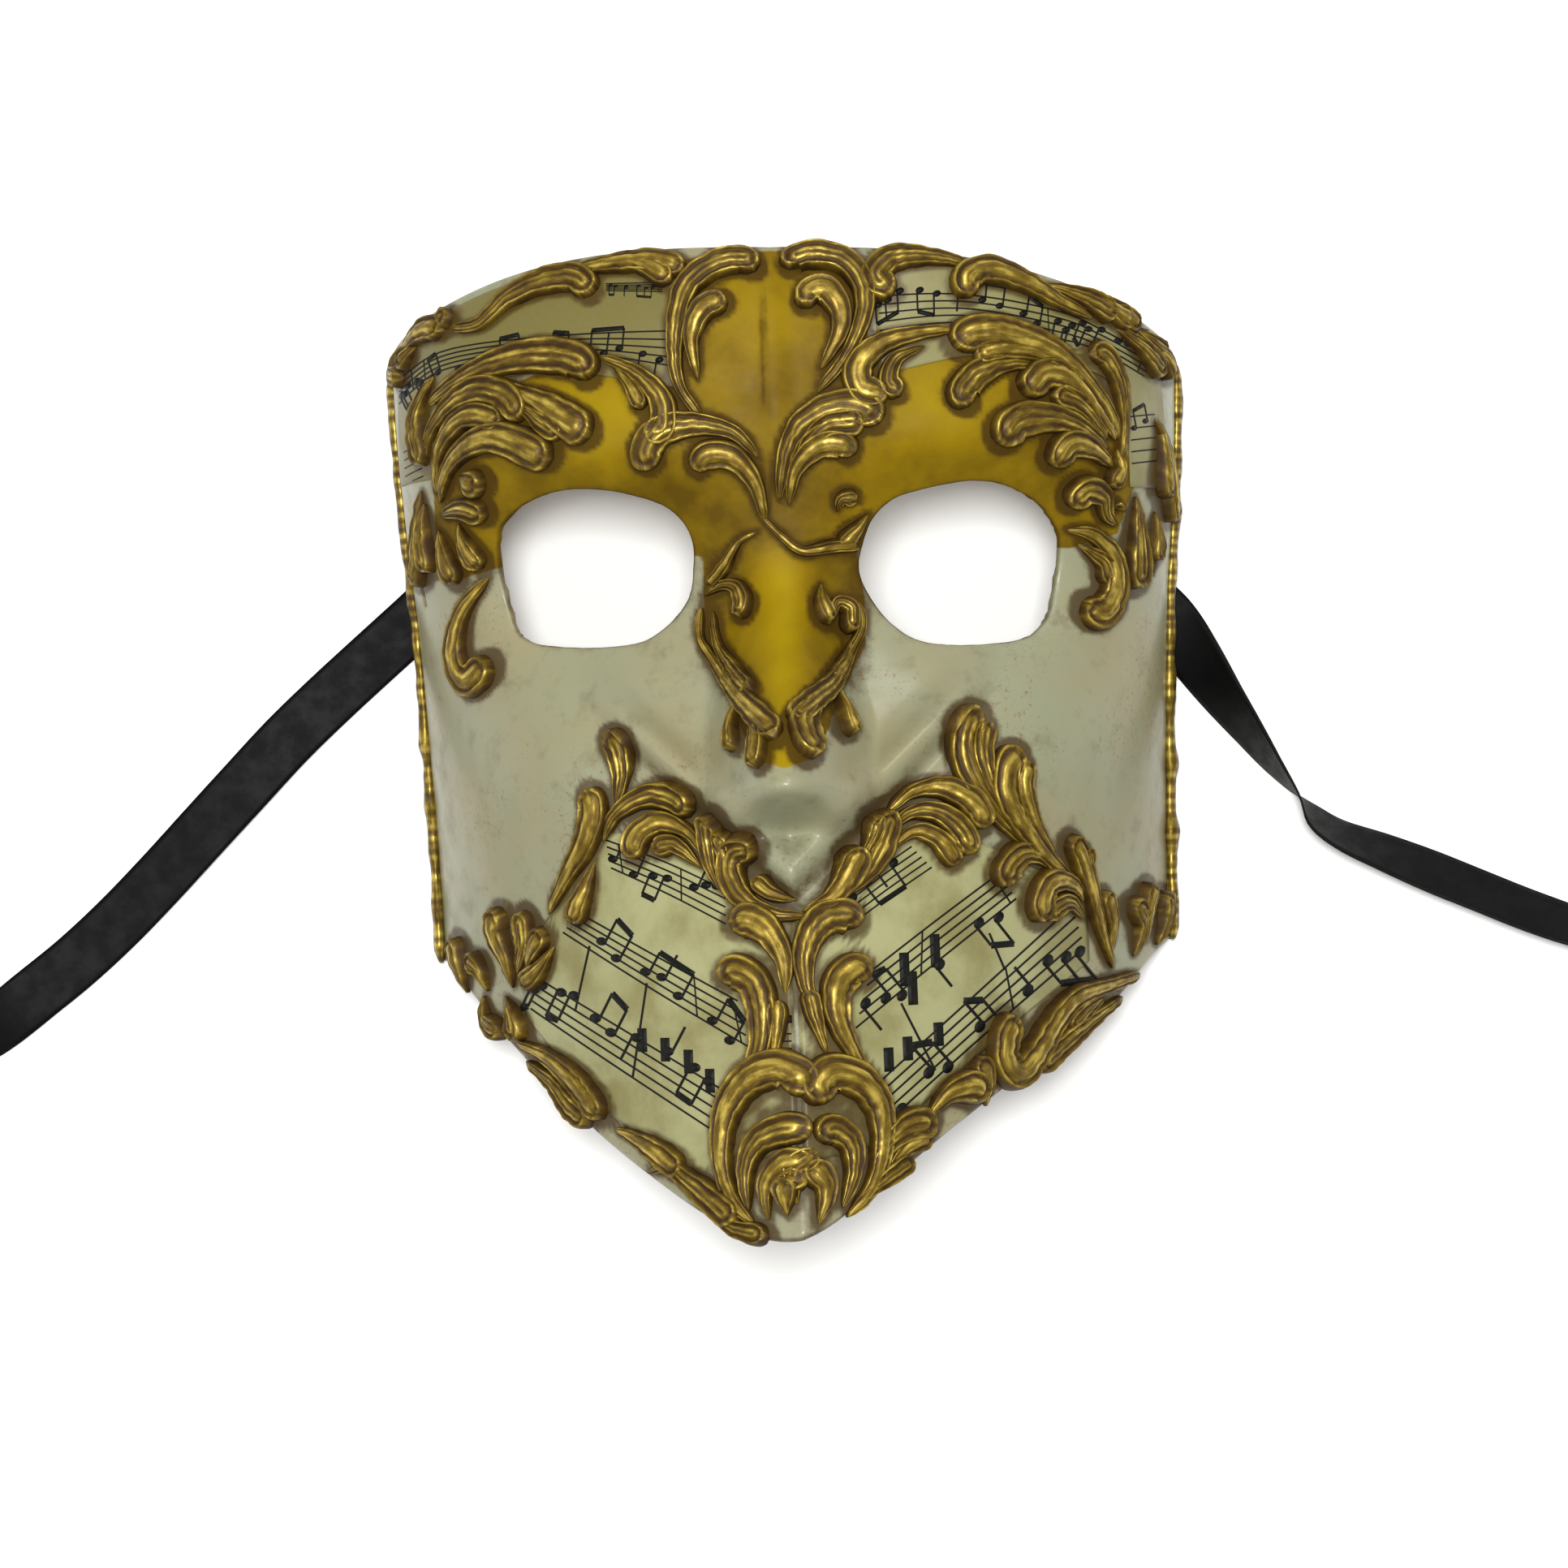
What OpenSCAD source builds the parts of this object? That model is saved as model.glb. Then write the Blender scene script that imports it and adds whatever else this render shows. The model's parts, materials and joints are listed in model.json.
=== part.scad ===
// Bauta: a venetian masquerade mask of papier-mache, lying on its back.
// Frame: X to the picture's right, Y towards the crown, Z out of the face.
// The table is z = 0 and the side rims stand on it. Millimetres throughout.

/* [Mask] */
// Width across the two side rims
mask_w = 174; // [150:1:200]
// Height from crown edge to chin tip
mask_h = 209; // [180:1:230]
// Depth from the table to the chin tip
mask_d = 98; // [80:1:115]
// Thickness of the papier-mache wall
wall_t = 2.4; // [1.6:0.1:4]
// How far the middle of each side rim arches off the table
rim_lift = 2.6; // [1:0.1:6]

/* [Eyes] */
// Distance between the middles of the eye holes
eye_gap = 78; // [66:1:84]
// Height of the eye line above the middle of the mask
eye_y = 37; // [30:0.5:42]
// Width of an eye hole
eye_w = 43; // [34:1:48]
// Height of an eye hole
eye_h = 34.5; // [24:0.5:38]

/* [Relief] */
// Height of the stucco scrolls and leaves
relief_h = 2.8; // [1.5:0.1:4]
// Width of the gilt bead along the side rims
bead_w = 4.4; // [3:0.1:7]
// Thickness of the music-paper sheets
paper_t = 0.25; // [0.1:0.05:0.6]

/* [Ribbons] */
// Width of the satin ribbon
ribbon_w = 12.7; // [8:0.1:16]
// Thickness of the satin ribbon
ribbon_t = 0.5; // [0.3:0.1:1]
// Length of a ribbon slot in the side wall
slot_len = 7; // [4:0.5:14]
// Height of a ribbon slot
slot_t = 2.6; // [1.5:0.1:5]

/* [Quality] */
// Steps across the shell
steps_across = 40; // [24:4:60]
// Steps from crown to chin
steps_down = 40; // [24:4:60]
// Sides of a relief pad
pad_sides = 6; // [5:1:10]

/* [Hidden] */
ivory = [0.80, 0.78, 0.68];
gold = [0.72, 0.55, 0.18];
sheet_color = [0.78, 0.75, 0.55];
black = [0.06, 0.06, 0.07];

// Design sizes that the lists below were drawn at
kx = mask_w / 174;
ky = mask_h / 209;
kz = mask_d / 98;

// Tables read every 20 mm from y = -110 to y = 110
table_step = 20;
table_start = -110;
middle_z = [98.5, 94.5, 90.5, 86.5, 81, 72, 64, 61.5, 64.5, 67.5, 66.5, 61];
half_w = [79, 80, 81, 81.5, 81.8, 82.2, 82.8, 83.8, 85.6, 86.9, 87, 84];
section = [1.3, 1.3, 1.35, 1.45, 1.6, 1.85, 2.1, 2.3, 2.4, 2.4, 2.35, 2.3];

function at(list, k) = list[max(0, min(len(list) - 1, k))];
function bend(a, b, c, d, f) =
  b + 0.5 * f * (c - a + f * (2 * a - 5 * b + 4 * c - d + f * (3 * (b - c) + d - a)));
function read(list, y) =
  let (p = max(0, min(len(list) - 1.001, (y - table_start) / table_step)), i = floor(p))
  bend(at(list, i - 1), at(list, i), at(list, i + 1), at(list, i + 2), p - i);
function ease(a, b, t) = let (f = max(0, min(1, (t - a) / (b - a)))) f * f * (3 - 2 * f);
function bell(t) = exp(-t * t);

// Features added to the plain oval of the face
function socket(x, y) = -7 * bell(pow(norm([(x - 38) / 24, (y - 37) / 20]), 1.6));
function brow(x, y) = 3 * bell((x - 40) / 26) * bell((y - 62) / 10);
function cheek(x, y) = 5 * bell((x - 50) / 20) * bell((y + 4) / 18);
function crease(x, y) = -0.8 * bell(x / 2.5) * ease(58, 72, y);
function nose_w(y) = 10 + 9 * ease(40, -6, y);
function nose_h(y) = 26 * pow(ease(50, -8, y), 1.25) * ease(-21, -9, y);
function nose(x, y) = let (t = min(1, x / nose_w(y))) nose_h(y) * pow(1 - t * t, 1.5);
function lip_line(x) = -29 + 0.95 * x;
function lip(x, y) =
  let (d = y - lip_line(x))
  (1 - ease(32, 46, x)) * (4.5 * bell((d - 2.5) / 5.5) - 1.5 * bell((d + 5) / 3));
function foot(y) = rim_lift / kz * ease(-16, 8, y) * (1 - ease(36, 60, y));

// Height of the face above the table at a design point
function face_z(x, y) =
  let (
    a = abs(x),
    s = min(1, a / read(half_w, y)),
    n = read(section, y),
    dome = pow(1 - pow(s, n), 1 / n),
    fade = min(1, (1 - s) * 6)
  )
  read(middle_z, y) * dome + foot(y) * (1 - dome)
  + fade * (socket(a, y) + brow(a, y) + cheek(a, y) + nose(a, y) + lip(a, y) + crease(a, y));

function on_face(x, y) = [x * kx, y * ky, face_z(x, y) * kz];
function unit(v) = v / norm(v);
function face_up(x, y) =
  let (e = 0.6) unit(cross(
    on_face(x + e, y) - on_face(x - e, y),
    on_face(x, y + e) - on_face(x, y - e)
  ));

// Edges of the shell, where s runs from -1 to 1 between the side rims
// The hand-trimmed edges aren't even: the crown falls to the right, the chin tip sits left of the middle
function crown_y(s) = 104.4 - 18.5 * pow(abs(s), 3.2) - 3.4 * s;
jaw_line = [-45, -62, -78, -90.5, -99.8, -102, -93, -81.8, -71.3, -61.3, -46.5];
function jaw_y(s) =
  let (p = min(9.999, (s + 1) * 5), i = floor(p))
  bend(at(jaw_line, i - 1), at(jaw_line, i), at(jaw_line, i + 1), at(jaw_line, i + 2), p - i);
function shell_point(s, f) =
  let (y = crown_y(s) * (1 - f) + jaw_y(s) * f, x = s * read(half_w, y))
  [x * kx, y * ky, (abs(s) > 0.999 ? foot(y) : face_z(x, y)) * kz];

module shell_skin() {
  nu = steps_across;
  nv = steps_down;
  outer = [for (i = [0 : nu]) [for (j = [0 : nv]) shell_point(sin(180 * i / nu - 90), j / nv)]];
  function o(i, j) = outer[max(0, min(nu, i))][max(0, min(nv, j))];
  function inward(i, j) =
    let (n = unit(cross(o(i + 1, j) - o(i - 1, j), o(i, j - 1) - o(i, j + 1))))
    let (p = o(i, j) - wall_t * n)
    (i == 0 || i == nu) ? [p[0], p[1], o(i, j)[2]] : p;
  m = nv + 1;
  far = (nu + 1) * m;
  points = concat(
    [for (i = [0 : nu]) for (j = [0 : nv]) o(i, j)],
    [for (i = [0 : nu]) for (j = [0 : nv]) inward(i, j)]
  );
  skin = [for (i = [0 : nu - 1]) for (j = [0 : nv - 1]) let (a = i * m + j) [a, a + 1, a + m + 1, a + m]];
  front = [for (q = skin) for (t = [[q[0], q[2], q[1]], [q[0], q[3], q[2]]]) t];
  back = [for (t = front) [t[2] + far, t[1] + far, t[0] + far]];
  loop = concat(
    [for (j = [0 : nv - 1]) j],
    [for (i = [0 : nu - 1]) i * m + nv],
    [for (j = [nv : -1 : 1]) nu * m + j],
    [for (i = [nu : -1 : 1]) i * m]
  );
  edge = [for (k = [0 : len(loop) - 1])
    let (a = loop[k], b = loop[(k + 1) % len(loop)])
    for (t = [[a, b, b + far], [a, b + far, a + far]]) t];
  polyhedron(points, concat(front, back, edge), convexity = 8);
}

// Eye holes: outline points from the outer corner round by the top, for a 43 x 34.5 hole
eye_right_points = [
  [21.5, 3], [20.5, 8], [16.5, 13], [10, 16.5], [3, 17.5], [-5, 16.5], [-13, 14.5], [-18, 10.5],
  [-20.5, 5], [-21.5, 0], [-20, -5], [-15.5, -11.5], [-8.5, -16], [2.5, -17], [13, -16], [18, -12], [20, -5.5]
];
eye_left_points = [
  [21.5, 3], [21, 9.5], [18.5, 12.5], [14.5, 15], [7.5, 17], [-0.5, 17], [-8, 15.5], [-15, 13],
  [-19, 9.5], [-21, 5], [-21, 0], [-19.5, -7], [-14, -13], [-7, -16], [7, -16], [17, -13.5], [20, -6]
];
// The pair sits a little left of the middle, with the left eye higher
eye_drift = -1.2;
eye_rise = 1;
eye_split = 2;
function ring_at(list, k) = list[(k + len(list)) % len(list)];
module eye_hole(side) {
  list = side < 0 ? eye_left_points : eye_right_points;
  outline = [for (k = [0 : len(list) - 1]) for (j = [0 : eye_split - 1])
    bend(ring_at(list, k - 1), ring_at(list, k), ring_at(list, k + 1), ring_at(list, k + 2), j / eye_split)];
  translate([side * eye_gap / 2 + eye_drift, eye_y - side * eye_rise, 5])
    linear_extrude(height = 100)
      polygon([for (p = outline) [side * p[0] * eye_w / 43, p[1] * eye_h / 34.5]]);
}

slot_y = 36;
slot_z = 25;
module ribbon_slot(side)
  translate([side * 82 * kx, slot_y, slot_z])
    cube([24, slot_len, slot_t], center = true);

module shell()
  color(ivory)
    difference() {
      shell_skin();
      for (side = [-1, 1]) eye_hole(side);
      for (side = [-1, 1]) ribbon_slot(side);
    }

// Relief: a stroke is [width at its head, points from root to head]
relief_gap = 0.05;
module pad(p, r, h) {
  o = on_face(p[0], p[1]);
  n = face_up(p[0], p[1]);
  u = unit(cross([0, 1, 0], n));
  v = cross(n, u);
  multmatrix([
    [u[0], v[0], n[0], o[0]],
    [u[1], v[1], n[1], o[1]],
    [u[2], v[2], n[2], o[2]],
    [0, 0, 0, 1]
  ])
    translate([0, 0, relief_gap])
      cylinder(h = h, r1 = r, r2 = r * 0.55, $fn = pad_sides);
}
module stroke(w, points) {
  n = len(points) - 1;
  function grow(k) = n == 0 ? 1 : 0.4 + 0.6 * k / n;
  for (k = [0 : max(0, n - 1)])
    hull() {
      pad(points[k], w / 2 * grow(k), relief_h * (0.5 + 0.5 * grow(k)));
      if (n > 0) pad(points[k + 1], w / 2 * grow(k + 1), relief_h * (0.5 + 0.5 * grow(k + 1)));
    }
}
module relief(strokes)
  color(gold)
    for (s = strokes) stroke(s[0], s[1]);

cartouche_left_strokes = [
  [6.5, [[-15, 68], [-20, 76], [-20.5, 86], [-18, 96], [-12, 101], [-6, 102], [-3, 99.5]]],
  [6, [[-16, 77], [-17, 86], [-14, 92], [-9, 93]]]
];
cartouche_right_strokes = [
  [6.5, [[9, 73], [15, 80], [19, 88], [19.5, 95], [16, 100.5], [10, 102.5], [5, 101.5], [4, 99.5]]],
  [7, [[10, 78], [14, 85], [14.5, 90], [11.5, 94.5], [8, 93.5], [8.5, 91]]]
];
crest_left_strokes = [
  [7.5, [[-4, 60], [-9, 65.5], [-17, 67.5], [-24, 66.5], [-27.5, 63], [-26.5, 59]]],
  [6.5, [[-3, 46], [-5, 55], [-9.5, 60.5], [-15, 61], [-17, 58]]]
];
crest_right_strokes = [
  [8, [[0, 51], [2, 61], [6, 67], [13, 70], [19, 69], [22, 66]]],
  [6.5, [[2, 50], [4, 57.5], [9, 62], [14, 62], [15.5, 59.5]]]
];
nose_left_strokes = [
  [3, [[-5, 44.5], [-9, 42.5], [-12, 37.5], [-15.5, 33.5]]],
  [4.5, [[-17, 31.5], [-13, 33.5], [-9.5, 33], [-8, 29.5], [-9, 26]]],
  [5.5, [[-17.5, 29], [-17.8, 22], [-13.5, 15.5], [-8.5, 9], [-4, 3.5], [-1.5, 0]]]
];
nose_right_strokes = [
  [3, [[-4, 48], [0, 43.5], [4, 40], [10, 41], [16, 41.5]]],
  [4, [[12, 48], [13, 51], [16.5, 51]]],
  [4.5, [[8, 33], [7.5, 29], [9, 24]]],
  [5.5, [[15.5, 29], [16, 23], [12.5, 17], [9, 11], [5, 7], [1.5, 3]]]
];
nose_tip_strokes = [
  [4, [[-9, 10], [-10.5, 4], [-10.5, -2]]],
  [4.5, [[-6.5, 6], [-5, 0], [-5.5, -6]]],
  [7, [[8, 9], [3.5, 3], [5.5, -4.5]]],
  [4.5, [[10, 11], [11.5, 5], [13, 0]]]
];
brow_left_strokes = [
  [8.5, [[-76, 76], [-68, 80.5], [-58, 83.5], [-48, 84], [-41, 82], [-39.5, 78]]],
  [8.5, [[-60, 79], [-50, 74], [-39, 66]]],
  [7, [[-77, 63], [-75, 70], [-69, 76], [-62, 78], [-56, 75], [-54.5, 70]]],
  [8, [[-74, 55], [-71, 62], [-65, 66.5], [-58, 67], [-47.5, 62]]],
  [6, [[-74, 82], [-78, 74], [-77, 63]]]
];
brow_bud_strokes = [
  [8, [[-69, 60], [-66, 58.5], [-63, 57]]]
];
brow_curl_strokes = [
  [6.5, [[-37, 83], [-29, 79], [-24, 73], [-24, 67], [-28, 67]]]
];
temple_left_strokes = [
  [7, [[-79, 58], [-80, 44], [-81, 38]]],
  [6, [[-75, 49], [-71, 37]]]
];
cheek_left_strokes = [
  [8, [[-64, 38], [-70, 31], [-72, 22], [-69, 16], [-64, 20]]]
];
crown_left_strokes = [
  [7, [[-70, 92], [-63, 92], [-56, 97], [-48, 100], [-41, 100], [-38, 96]]],
  [6, [[-48, 101], [-35, 102.5], [-24, 102.5], [-18, 100]]],
  [6, [[-71, 94]]]
];
corner_left_strokes = [
  [6, [[-78, 90], [-82, 86]]]
];
scroll_right_strokes = [
  [7, [[39, 85.5], [31, 84.8], [23, 82.8], [18, 78.5], [18.5, 73.5], [24, 71.5]]]
];
brow_right_strokes = [
  [8.5, [[73, 62], [69, 70], [60, 79.5], [50, 84], [42, 84.5], [38, 81.5]]],
  [7.5, [[56, 78], [49, 78], [43, 76], [39.5, 72], [41, 69]]],
  [7.5, [[72, 62], [66, 70], [61, 75], [56, 75.5], [52.5, 71]]],
  [8, [[70, 60], [63, 65], [56, 66.5], [50, 65.5], [46.5, 61]]],
  [7, [[71, 56], [66, 60], [61, 61], [57.5, 56.5]]],
  [5.5, [[73, 58], [73.5, 66], [72.5, 74], [69.5, 80], [66.5, 80]]]
];
temple_right_strokes = [
  [7, [[71.5, 44], [69, 46], [68, 50], [64.5, 51.5], [61, 48]]],
  [8, [[61, 43], [66, 42], [70, 37], [70, 30], [67, 25], [63.5, 27.5]]]
];
side_leaves_strokes = [
  [7.5, [[76, 50], [75, 30]]],
  [5.5, [[82, 66], [82, 50]]]
];
crown_right_strokes = [
  [7.5, [[43, 99], [35, 101], [26, 101], [22, 97], [26, 93]]],
  [7, [[68, 88], [61, 91], [54, 95], [46, 98], [41, 96], [42, 92]]]
];
corner_right_strokes = [
  [6, [[64, 94], [70, 91], [76, 87]]],
  [5, [[78, 86], [83, 81]]]
];
lip_left_strokes = [
  [7, [[-37, -13], [-35.5, -6], [-36, 0], [-38.5, 3]]],
  [7, [[-53, -35], [-48, -27], [-43.5, -20], [-41.5, -13], [-43, -8.5]]],
  [7, [[-40, -20], [-37, -14.5], [-31, -11], [-25, -11], [-20, -14]]],
  [6.5, [[-18, -24], [-21, -19], [-27, -16.5], [-32, -19], [-33, -24]]],
  [6, [[-15, -31], [-17, -24], [-16, -15]]]
];
lip_cup_strokes = [
  [7.5, [[3, -37], [-4, -36.5], [-10, -33], [-12.5, -27.5], [-10.5, -22.5], [-6.5, -22.5]]],
  [8, [[2, -36], [8, -33.5], [12, -28], [13.5, -22.5]]],
  [7.5, [[8, -34], [15, -29], [19, -22], [20, -15]]]
];
lip_right_strokes = [
  [7, [[20, -16], [25, -12], [32, -11.5], [38, -15], [40, -20.5]]],
  [6.5, [[20, -20], [25, -16.5], [31, -17], [35.5, -21.5], [36, -26]]]
];
cheek_right_strokes = [
  [8.5, [[50, -25], [44, -18.5], [39.5, -12], [37, -5], [37.5, 1.5], [41, 4]]],
  [7.5, [[60, -34], [53, -27], [48, -20], [45, -13.5], [45.5, -7.5], [48.5, -4]]],
  [7.5, [[54, -29.5], [51, -26.5], [47, -26], [44, -29.5], [44, -33]]],
  [7.5, [[61, -37], [58, -33], [53.5, -32], [51, -35.5], [51, -41]]],
  [5.5, [[61, -41], [57.5, -37], [54, -38], [53, -41]]],
  [5.5, [[67, -52], [64, -43], [61.5, -33], [59.5, -26], [58, -23]]]
];
corner_leaves_right_strokes = [
  [6, [[72, -50], [73.5, -43], [71.5, -37.5]]],
  [5.5, [[75, -47], [74.5, -40], [76, -34]]],
  [6, [[77.5, -48], [79, -42], [79, -36]]]
];
jaw_right_strokes = [
  [8, [[73, -54], [66, -55.5], [58, -57.5], [53, -62], [49, -68], [45, -72.5], [42, -70],
      [42, -65], [44.5, -60]]],
  [5, [[65, -58], [60, -60.5], [56, -64.5]]],
  [6.5, [[38.5, -79], [38, -74], [36.5, -68]]]
];
jaw_leaves_right_strokes = [
  [8, [[26, -80], [30, -75.5], [35, -74.5], [37.5, -77.5]]],
  [8, [[14, -91], [17, -85], [21.5, -81.5], [27, -81.5]]]
];
column_left_strokes = [
  [8, [[-2, -53], [-2, -46], [-5, -40], [-9, -37.5], [-13, -38.5]]],
  [8, [[-14, -80], [-12, -73], [-7.5, -65], [-6.5, -57], [-8, -50.5], [-12, -48], [-15, -50]]]
];
column_right_strokes = [
  [8, [[4, -58], [2, -50], [2.5, -43], [6, -38], [11, -37.5], [13, -40]]],
  [8, [[15, -72], [11, -65.5], [8, -58], [8.5, -51.5], [12, -48.5], [14.5, -51]]]
];
rosette_left_strokes = [
  [9, [[-10, -100], [-14.5, -94], [-16, -86], [-14.5, -77], [-10, -70.5], [-4, -68], [0, -70.5],
      [-1, -74]]],
  [7.5, [[-11, -97], [-11, -89], [-8, -83], [-2, -80.5], [2, -82]]]
];
rosette_right_strokes = [
  [9, [[9, -99], [14, -93], [16, -85], [15.5, -77], [12, -71.5], [7, -69.5], [4, -72], [5, -76]]],
  [7, [[8, -97], [10, -90], [9.5, -84], [6, -81], [3, -83]]]
];
chin_bud_strokes = [
  [7, [[-3, -98], [-3, -90]]],
  [5, [[-20, -97.5], [-14, -100.8], [-7, -102.3]]]
];
jaw_left_strokes = [
  [6.5, [[-62, -63], [-54, -66], [-48, -70.5], [-44, -75.5], [-42.5, -79]]],
  [6, [[-60, -67], [-53, -71.5], [-49, -76.5], [-45, -79.5]]]
];
jaw_leaves_left_strokes = [
  [6.5, [[-40, -81], [-35.5, -82.5], [-30, -85.5], [-24.5, -89.5]]],
  [7, [[-33, -90], [-28, -88.5], [-23, -91.5], [-18, -95.5], [-13, -99.5]]]
];
corner_leaves_left_strokes = [
  [6, [[-74.5, -52.5], [-75.5, -46], [-76.5, -40]]],
  [5.5, [[-69, -52], [-70, -47], [-72.5, -44.5]]],
  [7, [[-62.5, -51], [-63, -45], [-65, -38.5], [-64.5, -33.5]]],
  [6, [[-61.5, -48], [-58.5, -41.5], [-59, -34]]],
  [6, [[-59, -47], [-56, -42], [-53.5, -38.5]]],
  [7, [[-64.5, -53], [-62, -58], [-61.5, -63]]]
];

// Paper: a thin sheet between two edge lines with the same number of points
paper_gap = 0.15;
paper_across = 5;
paper_split = 3;
function along(list, f) =
  let (p = f * (len(list) - 1), i = min(len(list) - 2, floor(p)))
  list[i] * (1 - (p - i)) + list[i + 1] * (p - i);
module sheet(edge_a, edge_b) {
  nu = (len(edge_a) - 1) * paper_split;
  nv = paper_across;
  m = nv + 1;
  far = (nu + 1) * m;
  function spot(i, j, lift) =
    let (p = along(edge_a, i / nu) * (1 - j / nv) + along(edge_b, i / nu) * (j / nv))
    on_face(p[0], p[1]) + face_up(p[0], p[1]) * lift;
  points = [
    for (lift = [paper_gap + paper_t, paper_gap]) for (i = [0 : nu]) for (j = [0 : nv]) spot(i, j, lift)
  ];
  top = [for (i = [0 : nu - 1]) for (j = [0 : nv - 1]) let (a = i * m + j)
    for (t = [[a, a + m + 1, a + 1], [a, a + m, a + m + 1]]) t];
  bottom = [for (t = top) [t[2] + far, t[1] + far, t[0] + far]];
  loop = concat(
    [for (j = [0 : nv - 1]) j],
    [for (i = [0 : nu - 1]) i * m + nv],
    [for (j = [nv : -1 : 1]) nu * m + j],
    [for (i = [nu : -1 : 1]) i * m]
  );
  edge = [for (k = [0 : len(loop) - 1])
    let (a = loop[k], b = loop[(k + 1) % len(loop)])
    for (t = [[a, b, b + far], [a, b + far, a + far]]) t];
  color(sheet_color)
    polyhedron(points, concat(top, bottom, edge), convexity = 6);
}

// Gilt bead along a side rim: pads that swell and narrow in turn
bead_left = [87, -44];
bead_right = [81, -45];
bead_count = 22;
module bead_pad(side, y, r) {
  x = side * (read(half_w, y) - 0.4);
  translate([x * kx, y * ky, foot(y) * kz + 4])
    rotate([0, side * 90, 0])
      scale([1.15, 1, 1])
        cylinder(h = bead_w * 0.5, r1 = r, r2 = r * 0.6, $fn = pad_sides);
}
module side_border(side)
  color(gold)
    for (k = [0 : bead_count - 1])
      hull() {
        bead_pad(side, bead_y(side, k), bead_r(k));
        bead_pad(side, bead_y(side, k + 1), bead_r(k + 1));
      }
function bead_y(side, k) =
  let (ends = side < 0 ? bead_left : bead_right)
  ends[0] + (ends[1] - ends[0]) * k / bead_count;
function bead_r(k) = bead_w / 2 * (k % 2 == 0 ? 1.15 : 0.85);

// Ribbons: a route point is [x, y, z, compass of the width, tilt of the width]
ribbon_left_route = [
  [-75, 44, 20, 60, 20],
  [-74, 41, 10, 90, 12],
  [-75, 38, 4, 118, 4],
  [-80, 35, 1, 131, 0],
  [-86, 30, 0.8, 131, 0],
  [-95, 22.5, 0.8, 131, 0],
  [-105, 14, 1.2, 132, 2],
  [-115, 5, 1.8, 134, 3],
  [-125, -5, 2.2, 135, 3],
  [-135, -15, 2, 135, -2],
  [-145, -25, 1.4, 135, -2],
  [-155, -34.5, 1, 134, 0],
  [-165, -43, 1, 131, 0],
  [-175, -50.5, 1.6, 128, 6],
  [-184, -57.5, 3.6, 127, 28],
  [-192, -63.5, 6, 126, 62],
  [-200, -69.5, 7, 124, 90]
];
ribbon_right_route = [
  [75, 40, 20, 120, 20],
  [74, 36, 10, 90, 12],
  [75, 32, 4, 60, 4],
  [79, 29, 1, 40, 0],
  [84, 24, 0.8, 36, 4],
  [90, 14.5, 3.2, 34, 28],
  [95, 6.5, 4.8, 34, 46],
  [100, -1, 5.9, 36, 60],
  [105, -8.5, 6.5, 38, 73],
  [110.5, -16, 6.9, 46, 90],
  [114, -21, 6.4, 56, 112],
  [120, -25.5, 6, 64, 120],
  [130, -30, 5.4, 66, 130],
  [140, -34.5, 5, 66, 136],
  [150, -39, 4.9, 67, 136],
  [160, -43.5, 4.9, 68, 136],
  [170, -47.5, 5, 68, 134],
  [180, -51, 5.8, 70, 125],
  [190, -54.5, 6.6, 72, 105],
  [200, -57.5, 7, 75, 92],
  [208, -59.5, 7, 75, 90]
];
ribbon_split = 4;
ribbon_ring = [[1, 0.3], [0.9, 1], [-0.9, 1], [-1, 0.3], [-1, -0.3], [-0.9, -1], [0.9, -1], [1, -0.3]];
module ribbon(route) {
  spans = len(route) - 1;
  count = spans * ribbon_split;
  function spot(k) =
    let (i = min(spans - 1, floor(k / ribbon_split)))
    bend(at(route, i - 1), at(route, i), at(route, i + 1), at(route, i + 2), k / ribbon_split - i);
  path = [for (k = [0 : count]) spot(k)];
  function place(p) = [p[0], p[1], p[2]];
  function wide(p) = [cos(p[3]) * cos(p[4]), sin(p[3]) * cos(p[4]), sin(p[4])];
  function ring(k) =
    let (
      t = unit(place(at(path, k + 1)) - place(at(path, k - 1))),
      w0 = wide(path[k]),
      w = unit(w0 - t * (w0 * t)),
      n = cross(t, w)
    )
    [for (q = ribbon_ring) place(path[k]) + w * q[0] * ribbon_w / 2 + n * q[1] * ribbon_t / 2];
  m = len(ribbon_ring);
  points = [for (k = [0 : count]) each ring(k)];
  sides = [for (k = [0 : count - 1]) for (j = [0 : m - 1])
    let (a = k * m + j, b = k * m + (j + 1) % m)
    for (t = j < m / 2 ? [[a, a + m, b + m], [a, b + m, b]] : [[a, a + m, b], [b, a + m, b + m]]) t];
  first = [for (j = [1 : m - 2]) [0, j, j + 1]];
  last = [for (j = [1 : m - 2]) [count * m, count * m + j + 1, count * m + j]];
  color(black)
    polyhedron(points, concat(sides, first, last), convexity = 6);
}

// The unseen rest of each ribbon stands on its edge, wound in a loose spiral
coil_r = 28.7;
coil_hole_r = 16.9;
coil_left_at = [-216, -46];
coil_right_at = [215.5, -32];
module ribbon_coil(centre)
  color(black)
    translate([centre[0], centre[1], 0.2])
      rotate_extrude($fn = 72)
        translate([coil_hole_r, 0])
          square([coil_r - coil_hole_r, ribbon_w]);

// Knot that keeps the ribbon's end inside the wall, just below its slot
module ribbon_knot(side)
  color(black)
    translate([side * 73.5 * kx, slot_y + 4, slot_z - 1])
      rotate([90, 0, 0])
        rotate_extrude($fn = 36)
          polygon([[0, -4.5], [2, -4.5], [3.2, -2], [2.7, 0], [3.2, 2], [2, 4.5], [0, 4.5]]);

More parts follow.
